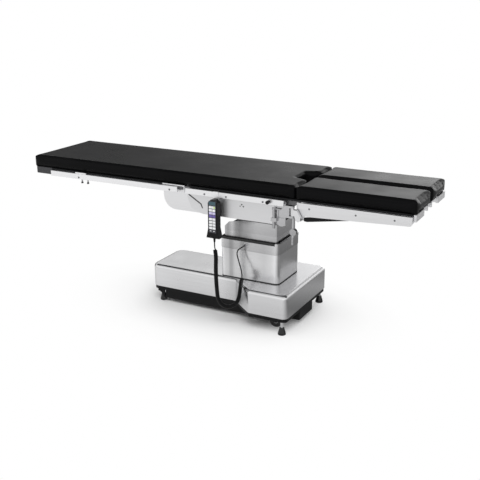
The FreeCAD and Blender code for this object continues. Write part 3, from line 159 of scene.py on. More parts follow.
class Groups:
    """Shader node groups that several finishes share."""

    _made: dict[str, NodeTree] = {}

    @classmethod
    def get(cls, name: str) -> NodeTree:
        """Return a group by name, building it on first use."""
        if name not in cls._made:
            cls._made[name] = getattr(cls, "_build_" + name)()
        return cls._made[name]

    @staticmethod
    def _start(name: str, inputs: dict[str, float], outputs: tuple[str, ...]) -> tuple:
        """Begin a group with its sockets.

        Args:
            name: the group's name.
            inputs: each input's name and default.
            outputs: each output's name.

        Returns:
            The tree, its input node and its output node.
        """
        tree = bpy.data.node_groups.new(name, "ShaderNodeTree")
        tree.interface.new_socket("Vector", in_out="INPUT", socket_type="NodeSocketVector")
        for label, value in inputs.items():
            socket = tree.interface.new_socket(label, in_out="INPUT", socket_type="NodeSocketFloat")
            socket.default_value = value
        for label in outputs:
            tree.interface.new_socket(label, in_out="OUTPUT", socket_type="NodeSocketFloat")
        return tree, tree.nodes.new("NodeGroupInput"), tree.nodes.new("NodeGroupOutput")

    @classmethod
    def _build_brushing(cls) -> NodeTree:
        """Long fine brush lines, 0 to 1, with slow cloudy variation beside them."""
        tree, start, end = cls._start("brushing", {"Along": 3.0, "Across": 900.0}, ("Lines", "Cloud"))
        nodes, links = tree.nodes, tree.links
        combine = nodes.new("ShaderNodeCombineXYZ")
        links.new(start.outputs["Along"], combine.inputs["X"])
        links.new(start.outputs["Along"], combine.inputs["Y"])
        links.new(start.outputs["Across"], combine.inputs["Z"])
        scaled = nodes.new("ShaderNodeVectorMath")
        scaled.operation = "MULTIPLY"
        links.new(start.outputs["Vector"], scaled.inputs[0])
        links.new(combine.outputs["Vector"], scaled.inputs[1])
        lines = nodes.new("ShaderNodeTexNoise")
        lines.inputs["Scale"].default_value = 1.0
        lines.inputs["Detail"].default_value = 3.0
        links.new(scaled.outputs["Vector"], lines.inputs["Vector"])
        cloud = nodes.new("ShaderNodeTexNoise")
        cloud.inputs["Scale"].default_value = 7.0
        cloud.inputs["Detail"].default_value = 2.0
        links.new(start.outputs["Vector"], cloud.inputs["Vector"])
        links.new(lines.outputs["Fac"], end.inputs["Lines"])
        links.new(cloud.outputs["Fac"], end.inputs["Cloud"])
        return tree

    @classmethod
    def _build_grain(cls) -> NodeTree:
        """Fine pebbled grain as a height, with broad smudges beside it."""
        tree, start, end = cls._start("grain", {"Size": 700.0}, ("Height", "Smudge"))
        nodes, links = tree.nodes, tree.links
        cells = nodes.new("ShaderNodeTexVoronoi")
        links.new(start.outputs["Vector"], cells.inputs["Vector"])
        links.new(start.outputs["Size"], cells.inputs["Scale"])
        soft = nodes.new("ShaderNodeTexNoise")
        soft.inputs["Detail"].default_value = 4.0
        links.new(start.outputs["Vector"], soft.inputs["Vector"])
        links.new(start.outputs["Size"], soft.inputs["Scale"])
        mixed = nodes.new("ShaderNodeMath")
        mixed.operation = "MULTIPLY_ADD"
        mixed.inputs[1].default_value = 0.6
        links.new(cells.outputs["Distance"], mixed.inputs[0])
        links.new(soft.outputs["Fac"], mixed.inputs[2])
        smudge = nodes.new("ShaderNodeTexNoise")
        smudge.inputs["Scale"].default_value = 5.0
        smudge.inputs["Detail"].default_value = 3.0
        links.new(start.outputs["Vector"], smudge.inputs["Vector"])
        links.new(mixed.outputs["Value"], end.inputs["Height"])
        links.new(smudge.outputs["Fac"], end.inputs["Smudge"])
        return tree


@dataclass(frozen=True)
class Finish:
    """One surface finish, built as a material on first use."""

    name: str
    colour: tuple[float, float, float]
    roughness: float
    metallic: float = 0.0
    specular: float = 0.5

    def material(self) -> Material:
        """Return this finish's material."""
        found = bpy.data.materials.get(self.name)
        return found if found else self.build()

    def base(self) -> tuple[Material, bpy.types.ShaderNodeBsdfPrincipled, Coordinates]:
        """Make a material with a plain surface node and object coordinates."""
        material = bpy.data.materials.new(self.name)
        material.use_nodes = True
        nodes = material.node_tree.nodes
        surface = nodes["Principled BSDF"]
        surface.inputs["Base Color"].default_value = (*self.colour, 1.0)
        surface.inputs["Roughness"].default_value = self.roughness
        surface.inputs["Metallic"].default_value = self.metallic
        surface.inputs["Specular IOR Level"].default_value = self.specular
        place = nodes.new("ShaderNodeTexCoord")
        return material, surface, place

    def build(self) -> Material:
        """Build the material."""
        raise NotImplementedError


def spread(material: Material, source: Socket, low: float, high: float) -> Socket:
    """Map a mask from 0..1 to a range.

    Args:
        material: the material that gets the node.
        source: the mask.
        low: the value at 0.
        high: the value at 1.

    Returns:
        The mapped value's socket.
    """
    node = material.node_tree.nodes.new("ShaderNodeMapRange")
    node.inputs["From Min"].default_value = 0.3
    node.inputs["From Max"].default_value = 0.7
    node.inputs["To Min"].default_value = low
    node.inputs["To Max"].default_value = high
    material.node_tree.links.new(source, node.inputs["Value"])
    return node.outputs["Result"]


def tint(material: Material, source: Socket, first: tuple, second: tuple) -> Socket:
    """Blend two colours by a mask.

    Args:
        material: the material that gets the node.
        source: the mask.
        first: the colour at 0.
        second: the colour at 1.

    Returns:
        The colour's socket.
    """
    node = material.node_tree.nodes.new("ShaderNodeValToRGB")
    node.color_ramp.elements[0].position = 0.3
    node.color_ramp.elements[0].color = (*first, 1.0)
    node.color_ramp.elements[1].position = 0.7
    node.color_ramp.elements[1].color = (*second, 1.0)
    material.node_tree.links.new(source, node.inputs["Fac"])
    return node.outputs["Color"]


def profile(material: Material, source: Socket,
            stops: tuple[tuple[float, float], ...]) -> Socket:
    """Look a place up in a list of shades.

    Args:
        material: the material that gets the nodes.
        source: the place, in metres.
        stops: rising places, each with its shade.

    Returns:
        The shade's socket.
    """
    nodes, links = material.node_tree.nodes, material.node_tree.links
    low, high = stops[0][0], stops[-1][0]
    reach = nodes.new("ShaderNodeMapRange")
    reach.inputs["From Min"].default_value = low
    reach.inputs["From Max"].default_value = high
    links.new(source, reach.inputs["Value"])
    ramp = nodes.new("ShaderNodeValToRGB")
    elements = ramp.color_ramp.elements
    elements[0].color = (*(stops[0][1],) * 3, 1.0)
    elements[1].color = (*(stops[-1][1],) * 3, 1.0)
    for at, shade in stops[1:-1]:
        elements.new((at - low) / (high - low)).color = (*(shade,) * 3, 1.0)
    links.new(reach.outputs["Result"], ramp.inputs["Fac"])
    return ramp.outputs["Color"]


def bump(material: Material, source: Socket, strength: float, depth: float) -> Socket:
    """Turn a height into a normal.

    Args:
        material: the material that gets the node.
        source: the height.
        strength: how much of the bump shows.
        depth: the height of a full step, in metres.

    Returns:
        The normal's socket.
    """
    node = material.node_tree.nodes.new("ShaderNodeBump")
    node.inputs["Strength"].default_value = strength
    node.inputs["Distance"].default_value = depth
    material.node_tree.links.new(source, node.inputs["Height"])
    return node.outputs["Normal"]


@dataclass(frozen=True)
class BrushedSteel(Finish):
    """Stainless sheet with brush lines that run level."""

    metallic: float = 1.0
    along: float = 2.5
    across: float = 1100.0
    variation: float = 0.035

    def build(self) -> Material:
        """Build the material."""
        material, surface, place = self.base()
        links = material.node_tree.links
        group = material.node_tree.nodes.new("ShaderNodeGroup")
        group.node_tree = Groups.get("brushing")
        group.inputs["Along"].default_value = self.along
        group.inputs["Across"].default_value = self.across
        links.new(place.outputs["Object"], group.inputs["Vector"])
        low = tuple(max(0.0, c - self.variation) for c in self.colour)
        high = tuple(min(1.0, c + self.variation) for c in self.colour)
        colour = self.shaded(material, place, tint(material, group.outputs["Lines"], low, high))
        links.new(colour, surface.inputs["Base Color"])
        rough = spread(material, group.outputs["Cloud"], self.roughness - 0.02, self.roughness + 0.02)
        links.new(rough, surface.inputs["Roughness"])
        links.new(bump(material, group.outputs["Lines"], 0.04, 0.0001), surface.inputs["Normal"])
        return material

    def shaded(self, material: Material, place: Coordinates,
               colour: Socket) -> Socket:
        """Plain sheet keeps its brushed colour."""
        return colour


@dataclass(frozen=True)
class BandedSteel(BrushedSteel):
    """Brushed sheet with painted light: upright light and dark bands of painted reflection, and level bands
    that are mostly painted shade.
    """

    upright: tuple[tuple[float, float], ...] = ()
    level: tuple[tuple[float, float], ...] = ()

    def shaded(self, material: Material, place: Coordinates,
               colour: Socket) -> Socket:
        """Multiply the brushed colour by the painted reflection bands and the painted shade bands.

        Args:
            material: the material that gets the nodes.
            place: its object coordinates.
            colour: the brushed colour.

        Returns:
            The banded colour's socket.
        """
        nodes, links = material.node_tree.nodes, material.node_tree.links
        split = nodes.new("ShaderNodeSeparateXYZ")
        links.new(place.outputs["Object"], split.inputs["Vector"])
        # upright paints reflection bands along X; level paints shade bands along Z.
        for axis, stops in (("X", self.upright), ("Z", self.level)):
            if stops:
                mix = nodes.new("ShaderNodeMix")
                mix.data_type = "RGBA"
                mix.blend_type = "MULTIPLY"
                mix.inputs["Factor"].default_value = 1.0
                links.new(colour, mix.inputs["A"])
                links.new(profile(material, split.outputs[axis], stops), mix.inputs["B"])
                colour = mix.outputs["Result"]
        return colour


@dataclass(frozen=True)
class GrainedSkin(Finish):
    """Moulded, painted or coated skin with a fine grain."""

    size: float = 700.0
    depth: float = 0.0002
    strength: float = 0.25
    sheen: float = 0.0
    coat: float = 0.0

    def build(self) -> Material:
        """Build the material."""
        material, surface, place = self.base()
        links = material.node_tree.links
        group = material.node_tree.nodes.new("ShaderNodeGroup")
        group.node_tree = Groups.get("grain")
        group.inputs["Size"].default_value = self.size
        links.new(place.outputs["Object"], group.inputs["Vector"])
        surface.inputs["Sheen Weight"].default_value = self.sheen
        surface.inputs["Coat Weight"].default_value = self.coat
        low = tuple(c * 0.85 for c in self.colour)
        high = tuple(min(1.0, c * 1.15) for c in self.colour)
        links.new(tint(material, group.outputs["Smudge"], low, high), surface.inputs["Base Color"])
        rough = spread(material, group.outputs["Smudge"], self.roughness - 0.05, self.roughness + 0.06)
        links.new(rough, surface.inputs["Roughness"])
        grain = bump(material, group.outputs["Height"], self.strength, self.depth)
        links.new(grain, surface.inputs["Normal"])
        return material


@dataclass(frozen=True)
class WheelRubber(Finish):
    """A castor wheel: a grey hub inside a dark tread, told apart by the distance from the axle."""

    hub: tuple[float, float, float] = (0.35, 0.35, 0.36)
    axle: tuple[float, float, float] = (0.0, 0.0, 0.0)
    hub_radius: float = 0.016

    def build(self) -> Material:
        """Build the material."""
        material, surface, place = self.base()
        nodes, links = material.node_tree.nodes, material.node_tree.links
        away = nodes.new("ShaderNodeVectorMath")
        away.operation = "SUBTRACT"
        away.inputs[1].default_value = self.axle
        links.new(place.outputs["Object"], away.inputs[0])
        flat = nodes.new("ShaderNodeVectorMath")
        flat.operation = "MULTIPLY"
        flat.inputs[1].default_value = (1.0, 0.0, 1.0)
        links.new(away.outputs["Vector"], flat.inputs[0])
        reach = nodes.new("ShaderNodeVectorMath")
        reach.operation = "LENGTH"
        links.new(flat.outputs["Vector"], reach.inputs[0])
        mask = nodes.new("ShaderNodeMapRange")
        mask.inputs["From Min"].default_value = self.hub_radius
        mask.inputs["From Max"].default_value = self.hub_radius + 0.001
        links.new(reach.outputs["Value"], mask.inputs["Value"])
        colour = nodes.new("ShaderNodeValToRGB")
        colour.color_ramp.elements[0].color = (*self.hub, 1.0)
        colour.color_ramp.elements[1].color = (*self.colour, 1.0)
        links.new(mask.outputs["Result"], colour.inputs["Fac"])
        links.new(colour.outputs["Color"], surface.inputs["Base Color"])
        return material


STAINLESS = BrushedSteel("brushed_stainless", (0.64, 0.64, 0.65), 0.30)
# Painted reflection on the base cover: bright and dark upright bands, a bright foot-end edge and a darker
# foot-end face.
BASE_STEEL = BandedSteel("base_stainless", (0.72, 0.72, 0.73), 0.26,
                         upright=((-0.40, 1.0), (-0.20, 0.94), (0.05, 1.0), (0.14, 0.80), (0.18, 1.0),
                                  (0.30, 0.96), (0.44, 1.0), (0.462, 1.06), (0.474, 0.86), (0.479, 0.76)))
# Painted reflection on the lower shroud: bright corners, a dark upright stripe near x 0.09 and a darker
# foot-end face; along Z, painted shade towards the bottom, a darker collar above z 0.372 and a dark line at
# its lower edge.
SHROUD_STEEL = BandedSteel("lower_shroud_stainless", (0.77, 0.77, 0.78), 0.26,
                           upright=((0.028, 1.0), (0.045, 1.1), (0.065, 0.88), (0.080, 0.80), (0.091, 0.58),
                                    (0.102, 0.60), (0.118, 0.86), (0.145, 1.0), (0.20, 1.0), (0.29, 0.86),
                                    (0.325, 0.96), (0.350, 1.12), (0.364, 0.84), (0.3705, 0.64)),
                           level=((0.20, 0.86), (0.25, 0.96), (0.34, 1.0), (0.3704, 1.0), (0.3712, 0.45),
                                  (0.3722, 0.45), (0.3728, 0.74), (0.395, 0.80), (0.424, 0.86)))
# Painted reflection on the upper shroud: dark upright bands near x 0.07 and x 0.12 to 0.14 and a darker foot
# end; along Z, painted shade towards the bottom and in a narrow band near z 0.466.
UPPER_STEEL = BandedSteel("upper_shroud_stainless", (0.74, 0.74, 0.75), 0.26,
                          upright=((0.035, 0.95), (0.070, 0.55), (0.095, 0.90), (0.118, 0.50), (0.140, 0.42),
                                   (0.170, 0.74), (0.24, 0.84), (0.34, 0.76), (0.352, 0.66)),
                          level=((0.43, 0.86), (0.462, 1.0), (0.466, 0.90), (0.53, 1.0)))
SATIN = BrushedSteel("satin_silver", (0.84, 0.84, 0.85), 0.40, along=4.0, across=1500.0, variation=0.03)
# Painted shade on the side covers: brightest near their lower edge and darker towards the top.
COVER_STEEL = BandedSteel("cover_satin", (0.70, 0.70, 0.71), 0.38, along=4.0, across=1500.0, variation=0.02,
                          level=((0.57, 1.04), (0.62, 1.0), (0.70, 0.90)))
PLATE_STEEL = BrushedSteel("plate_satin", (0.76, 0.76, 0.77), 0.38, along=4.0, across=1500.0, variation=0.02)
SOCKET_STEEL = BrushedSteel("socket_steel", (0.50, 0.50, 0.51), 0.24, along=12.0, across=700.0,
                            variation=0.03)
LEVER_STEEL = BrushedSteel("lever_chrome", (0.44, 0.44, 0.45), 0.20, along=30.0, across=300.0, variation=0.03)
BRIGHT = BrushedSteel("polished_chrome", (0.66, 0.66, 0.67), 0.14, along=30.0, across=300.0, variation=0.02)
SCREW_STEEL = BrushedSteel("screw_steel", (0.30, 0.30, 0.31), 0.35, along=60.0, across=200.0, variation=0.03)
CAST = GrainedSkin("cast_grey_paint", (0.26, 0.26, 0.27), 0.5, 0.2, size=500.0)
BLACK_PAINT = GrainedSkin("black_powder_coat", (0.0045, 0.0045, 0.0048), 0.42, specular=0.16, size=900.0)
BLACK_PLASTIC = GrainedSkin("black_moulding", (0.005, 0.005, 0.0054), 0.32, specular=0.16, size=1200.0,
                            strength=0.10)
GREY_BOARD = GrainedSkin("dark_grey_board", (0.010, 0.010, 0.011), 0.55, specular=0.15, size=600.0)
CAP_PLASTIC = GrainedSkin("end_cap_moulding", (0.040, 0.040, 0.043), 0.5, specular=0.3, size=600.0)
FOOT_PLASTIC = GrainedSkin("foot_moulding", (0.004, 0.004, 0.0044), 0.18, specular=0.45, size=900.0,
                           strength=0.05)
RUBBER = GrainedSkin("black_rubber", (0.008, 0.008, 0.008), 0.55, specular=0.2, size=800.0)
VINYL = GrainedSkin("cushion_vinyl", (0.0030, 0.0030, 0.0033), 0.30, specular=0.055, size=650.0, depth=0.0002,
                    strength=0.12)
CORD_SKIN = GrainedSkin("cord_jacket", (0.0045, 0.0045, 0.0048), 0.38, specular=0.18, size=1500.0,
                        strength=0.1)
KEY_WHITE = GrainedSkin("key_white", (0.78, 0.79, 0.80), 0.5, size=2000.0, strength=0.05)
KEY_PALE = GrainedSkin("key_pale", (0.55, 0.52, 0.74), 0.5, size=2000.0, strength=0.05)
KEY_LILAC = GrainedSkin("key_lilac", (0.13, 0.10, 0.33), 0.5, size=2000.0, strength=0.05)
KEY_GREEN = GrainedSkin("key_green", (0.45, 0.60, 0.16), 0.5, size=2000.0, strength=0.05)
SCREEN = GrainedSkin("display_window", (0.015, 0.06, 0.08), 0.12, size=2000.0, strength=0.02, coat=0.4)
PANEL = GrainedSkin("key_panel", (0.05, 0.05, 0.06), 0.35, specular=0.3, size=1800.0, strength=0.05)

NODE_FINISHES: dict[Finish, tuple[str, ...]] = {
    BASE_STEEL: ("base_cover",),
    SHROUD_STEEL: ("lower_shroud",),
    UPPER_STEEL: ("upper_shroud",),
    STAINLESS: ("middle_shroud",),
    SATIN: ("seat_rails", "back_rails", "handset_hook"),
    COVER_STEEL: ("seat_side_covers",),
    PLATE_STEEL: ("back_side_plates", "leg_frame_near", "leg_frame_far", "leg_knuckle_near",
                  "leg_knuckle_far"),
    SOCKET_STEEL: ("leg_sockets",),
    BRIGHT: ("foot_spindles", "lift_rod", "castor_fork_near", "castor_fork_far"),
    LEVER_STEEL: ("t_lever_near", "t_lever_far", "lock_handle_near", "lock_handle_far", "cord_plug"),
    CAST: ("pump_unit", "guide_outer", "guide_middle", "guide_inner", "lift_barrel", "head_fork",
           "tilt_cross", "seat_frame", "back_frame"),
    BLACK_PAINT: ("chassis_tray", "chassis_beam"),
    BLACK_PLASTIC: ("battery_pack", "rail_stop_knobs", "release_lever_near", "release_lever_far", "handset"),
    GREY_BOARD: ("seat_board", "back_board", "leg_board_near", "leg_board_far"),
    CAP_PLASTIC: ("head_end_cap",),
    FOOT_PLASTIC: ("foot_pads",),
    RUBBER: ("column_gasket", "lower_wiper", "middle_wiper"),
}


def dress(piece: Piece, finish: Finish) -> Piece:
    """Give a piece one finish."""
    piece.data.materials.clear()
    piece.data.materials.append(finish.material())
    return piece


def attach(piece: Piece, finish: Finish, body: str) -> Piece:
    """Finish a new piece and let it ride.

    Args:
        piece: the new piece.
        finish: its surface.
        body: the body that it moves with.

    Returns:
        The piece.
    """
    dress(piece, finish)
    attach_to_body(piece, body)
    return piece


@dataclass
class Camera:
    """The photograph's camera."""

    place: tuple[float, float, float] = (2.0181, -3.6356, 1.7134)
    azimuth: float = 28.06
    elevation: float = 17.97
    roll: float = 0.26
    lens: float = 60.44

    def build(self) -> Piece:
        """Make the camera and set it as the scene's."""
        data = bpy.data.cameras.new("camera")
        data.lens = self.lens
        data.sensor_width = 36.0
        camera = bpy.data.objects.new("camera", data)
        bpy.context.scene.collection.objects.link(camera)
        turn = (Matrix.Rotation(math.radians(self.azimuth), 4, "Z")
                @ Matrix.Rotation(math.radians(90.0 - self.elevation), 4, "X")
                @ Matrix.Rotation(math.radians(-self.roll), 4, "Z"))
        camera.matrix_world = Matrix.Translation(self.place) @ turn
        bpy.context.scene.camera = camera
        return camera


@dataclass
class Studio:
    """Pale floor, soft lamps and a white surround."""

    light_level: float = 0.55
    floor_radius: float = 9.0
    floor_colour: float = 0.90
    behind: tuple = ((0.0, 0.5), (0.28, 1.15), (0.46, 1.0), (0.56, 0.10), (0.86, 0.10), (1.0, 0.5))
    before: tuple = ((0.0, 1.0), (0.55, 1.1), (0.8, 0.7), (1.0, 0.5))
    sideways: tuple = ((-1.0, 0.02), (-0.58, 0.03), (-0.47, 0.35), (-0.38, 1.1), (-0.28, 3.0), (0.2, 3.0),
                       (0.5, 0.6), (1.0, 0.6))
    whiteness: tuple = ((0.24, 0.0), (0.30, 0.22), (0.39, 0.62), (0.50, 0.90), (0.64, 1.0))
    along_sight: tuple = ((-2.6, 1.0), (-1.8, 0.98), (-1.62, 0.7), (-1.42, 0.40), (-1.25, 0.55), (-1.1, 0.85),
                          (-0.8, 1.0), (-0.65, 0.90), (-0.45, 0.78), (-0.2, 0.66), (0.1, 0.50), (0.35, 0.20),
                          (0.55, 0.34), (0.70, 0.50), (0.85, 0.36), (1.3, 0.28), (2.6, 0.5))

    def build(self) -> None:
        """Make the surround, the floor and the lamps."""
        self._surround()
        self._floor()
        self._lamp("key_lamp", (1.6, -2.6, 3.6), (0.2, 0.0, 0.4), 2.6, 95.0)
        self._lamp("side_lamp", (-3.4, -1.0, 2.4), (0.0, 0.0, 0.5), 2.0, 40.0)
        self._lamp("back_lamp", (0.5, 3.2, 2.6), (0.2, 0.0, 0.6), 2.4, 50.0)

    def _surround(self) -> None:
        """White where the camera or a reflection looks, plainer where it only lights."""
        world = bpy.data.worlds.new("surround")
        bpy.context.scene.world = world
        world.use_nodes = True
        nodes, links = world.node_tree.nodes, world.node_tree.links
        nodes.clear()
        out = nodes.new("ShaderNodeOutputWorld")
        plain = nodes.new("ShaderNodeBackground")
        plain.inputs["Color"].default_value = (1.0, 1.0, 1.0, 1.0)
        plain.inputs["Strength"].default_value = self.light_level
        white = nodes.new("ShaderNodeBackground")
        white.inputs["Color"].default_value = (1.0, 1.0, 1.0, 1.0)
        mirror = nodes.new("ShaderNodeBackground")
        place = nodes.new("ShaderNodeTexCoord")
        heading = nodes.new("ShaderNodeSeparateXYZ")
        links.new(place.outputs["Generated"], heading.inputs["Vector"])
        behind = profile(world, heading.outputs["Z"], self.behind)
        before = profile(world, heading.outputs["Z"], self.before)
        sideways = profile(world, heading.outputs["X"], self.sideways)
        lifted = profile(world, heading.outputs["Z"], ((0.0, 0.0), (0.24, 0.0), (0.30, 1.0), (1.0, 1.0)))
        turned = profile(world, heading.outputs["Y"], ((-1.0, 0.0), (-0.12, 0.0), (0.12, 1.0), (1.0, 1.0)))
        far = self._mix(nodes, links, lifted, sideways, behind)
        both = self._mix(nodes, links, turned, before, far)
        links.new(both, mirror.inputs["Color"])
        path = nodes.new("ShaderNodeLightPath")
        first = nodes.new("ShaderNodeMixShader")
        second = nodes.new("ShaderNodeMixShader")
        sharp = nodes.new("ShaderNodeMath")
        sharp.operation = "MAXIMUM"
        links.new(path.outputs["Is Glossy Ray"], sharp.inputs[0])
        links.new(path.outputs["Is Transmission Ray"], sharp.inputs[1])
        links.new(sharp.outputs["Value"], first.inputs["Fac"])
        links.new(plain.outputs["Background"], first.inputs[1])
        links.new(mirror.outputs["Background"], first.inputs[2])
        links.new(path.outputs["Is Camera Ray"], second.inputs["Fac"])
        links.new(first.outputs["Shader"], second.inputs[1])
        links.new(white.outputs["Background"], second.inputs[2])
        links.new(second.outputs["Shader"], out.inputs["Surface"])

    @staticmethod
    def _mix(nodes: bpy.types.Nodes, links: bpy.types.NodeLinks, part: Socket,
             first: Socket, second: Socket) -> Socket:
        """Blend two colours.

        Args:
            nodes: the tree's nodes.
            links: the tree's links.
            part: how much of the second shows.
            first: the colour at 0.
            second: the colour at 1.

        Returns:
            The blended colour's socket.
        """
        mix = nodes.new("ShaderNodeMix")
        mix.data_type = "RGBA"
        links.new(part, mix.inputs["Factor"])
        links.new(first, mix.inputs["A"])
        links.new(second, mix.inputs["B"])
        return mix.outputs["Result"]

    def _floor(self) -> None:
        """A pale disc, white beyond the shadow and banded in the steel's reflections."""
        bm = bmesh.new()
        bmesh.ops.create_circle(bm, cap_ends=True, segments=96, radius=self.floor_radius)
        bmesh.ops.translate(bm, verts=bm.verts[:], vec=(0.0, 0.0, -0.0005))
        floor = finish_mesh(bm, "floor", smooth=False)
        material = bpy.data.materials.new("pale_floor")
        material.use_nodes = True
        nodes, links = material.node_tree.nodes, material.node_tree.links
        surface = nodes["Principled BSDF"]
        surface.inputs["Base Color"].default_value = (self.floor_colour,) * 3 + (1.0,)
        surface.inputs["Roughness"].default_value = 0.65
        glow = nodes.new("ShaderNodeEmission")
        place = nodes.new("ShaderNodeTexCoord")
        flat = nodes.new("ShaderNodeVectorMath")
        flat.operation = "MULTIPLY"
        flat.inputs[1].default_value = (0.62, 1.0, 0.0)
        links.new(place.outputs["Object"], flat.inputs[0])
        reach = nodes.new("ShaderNodeVectorMath")
        reach.operation = "LENGTH"
        links.new(flat.outputs["Vector"], reach.inputs[0])
        whiteness = profile(material, reach.outputs["Value"], self.whiteness)
        path = nodes.new("ShaderNodeLightPath")
        seen = nodes.new("ShaderNodeMath")
        seen.operation = "MULTIPLY"
        links.new(whiteness, seen.inputs[0])
        links.new(path.outputs["Is Camera Ray"], seen.inputs[1])
        shown = nodes.new("ShaderNodeMixShader")
        links.new(seen.outputs["Value"], shown.inputs["Fac"])
        links.new(surface.outputs["BSDF"], shown.inputs[1])
        links.new(glow.outputs["Emission"], shown.inputs[2])
        ahead = nodes.new("ShaderNodeVectorMath")
        ahead.operation = "DOT_PRODUCT"
        ahead.inputs[1].default_value = (0.484, 0.875, 0.0)
        links.new(place.outputs["Object"], ahead.inputs[0])
        mirrored = nodes.new("ShaderNodeEmission")
        links.new(profile(material, ahead.outputs["Value"], self.along_sight), mirrored.inputs["Color"])
        mix = nodes.new("ShaderNodeMixShader")
        links.new(path.outputs["Is Glossy Ray"], mix.inputs["Fac"])
        links.new(shown.outputs["Shader"], mix.inputs[1])
        links.new(mirrored.outputs["Emission"], mix.inputs[2])
        links.new(mix.outputs["Shader"], nodes["Material Output"].inputs["Surface"])
        material.cycles.emission_sampling = "NONE"
        floor.data.materials.append(material)

    @staticmethod
    def _lamp(name: str, place: tuple, target: tuple, size: float, power: float) -> None:
        """Add one soft lamp.

        Args:
            name: the lamp's name.
            place: where it stands.
            target: the point that it faces.
            size: its width.
            power: its power in watts.
        """
        data = bpy.data.lights.new(name, "AREA")
        data.size = size
        data.energy = power
        lamp = bpy.data.objects.new(name, data)
        lamp.visible_glossy = False
        bpy.context.scene.collection.objects.link(lamp)
        heading = Vector(target) - Vector(place)
        lamp.matrix_world = Matrix.Translation(place) @ heading.to_track_quat("-Z", "Y").to_matrix().to_4x4()


@dataclass
class CurlyCord:
    """The hand control's cord: thin tails and a helix between them, all on one spline."""

    wire: float = 0.0060
    coil_radius: float = 0.0084
    pitch: float = 0.0064
    turn_points: int = 12

    low_tail: tuple = ((85, -283, 449), (85, -283, 428))
    coil: tuple = ((87, -282, 408.5), (91, -280, 369.5), (88, -279, 305), (89, -279, 240), (94, -280, 183),
                   (98, -280, 143), (117, -279, 114), (150, -276, 103), (183, -266, 114), (204, -252, 143),
                   (203, -231, 196), (197, -205, 238))
    top_tail: tuple = ((194, -192, 259), (183, -183, 287), (170, -177, 315), (160, -175, 343),
                       (157, -180, 367), (164, -184, 386), (175, -182, 398), (184, -170, 403),
                       (184, -154, 403))

    def build(self) -> None:
        """Lay the cord along its route."""
        route = self._sampled([*self.low_tail, *self.coil, *self.top_tail])
        points = self._wound(route)
        cord = self._curve("curly_cord", points, self.wire / 2)
        dress(cord, CORD_SKIN)
        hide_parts("cord_tail_low", "cord_coil", "cord_tail_top")
        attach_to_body(cord, "base")

    @staticmethod
    def _spline(name: str, points: list) -> Piece:
        """A smooth curve with these control points, in metres."""
        data = bpy.data.curves.new(name, "CURVE")
        data.dimensions = "3D"
        spline = data.splines.new("NURBS")
        spline.points.add(len(points) - 1)
        for slot, place in zip(spline.points, points):
            slot.co = (*place, 1.0)
        spline.order_u = 3
        spline.use_endpoint_u = True
        spline.resolution_u = 8
        piece = bpy.data.objects.new(name, data)
        bpy.context.scene.collection.objects.link(piece)
        return piece

    def _sampled(self, route: list) -> list[Vector]:
        """Read points off the route's smooth spline."""
        guide = self._spline("cord_route", [tuple(v * MM for v in p) for p in route])
        bpy.context.view_layer.update()
        mesh = bpy.data.meshes.new_from_object(guide)
        points = [v.co.copy() for v in mesh.vertices]
        bpy.data.objects.remove(guide)
        bpy.data.meshes.remove(mesh)
        return points

    def _wound(self, route: list[Vector]) -> list[Vector]:
        """Wind the route into a helix between its two thin tails."""
        steps = [0.0]
        for before, after in zip(route, route[1:]):
            steps.append(steps[-1] + (after - before).length)
        total = steps[-1]
        start, end = 0.036, total - 0.200
        gap = self.pitch / self.turn_points

        def at(distance: float) -> tuple[Vector, Vector]:
            """The route's point and heading at a distance along it."""
            index = max(i for i, s in enumerate(steps) if s <= distance + 1e-9)
            index = min(index, len(route) - 2)
            part = (distance - steps[index]) / max(1e-9, steps[index + 1] - steps[index])
            return route[index].lerp(route[index + 1], part), (route[index + 1] - route[index]).normalized()

        points = []
        side = Vector((1.0, 0.0, 0.0))
        distance = 0.0
        angle = 0.0
        while distance < total:
            place, heading = at(distance)
            side = (side - heading * side.dot(heading)).normalized()
            other = heading.cross(side)
            fade = min(1.0, max(0.0, (distance - start) / 0.009))
            fade *= min(1.0, max(0.0, (end - distance) / 0.009))
            if fade > 0.0:
                radius = self.coil_radius * fade
                points.append(place + (side * math.cos(angle) + other * math.sin(angle)) * radius)
                angle += 2 * math.pi / self.turn_points
                distance += gap
            else:
                points.append(place)
                distance += 0.006
        points.append(route[-1])
        return points

    def _curve(self, name: str, points: list[Vector], radius: float) -> Piece:
        """A round cord along control points."""
        piece = self._spline(name, [tuple(p) for p in points])
        piece.data.splines[0].resolution_u = 2
        piece.data.bevel_depth = radius
        piece.data.bevel_resolution = 2
        return piece

    @staticmethod
    def _length(cord: Piece) -> float:
        """The length of the cord's own line."""
        return cord.data.splines[0].calc_length()


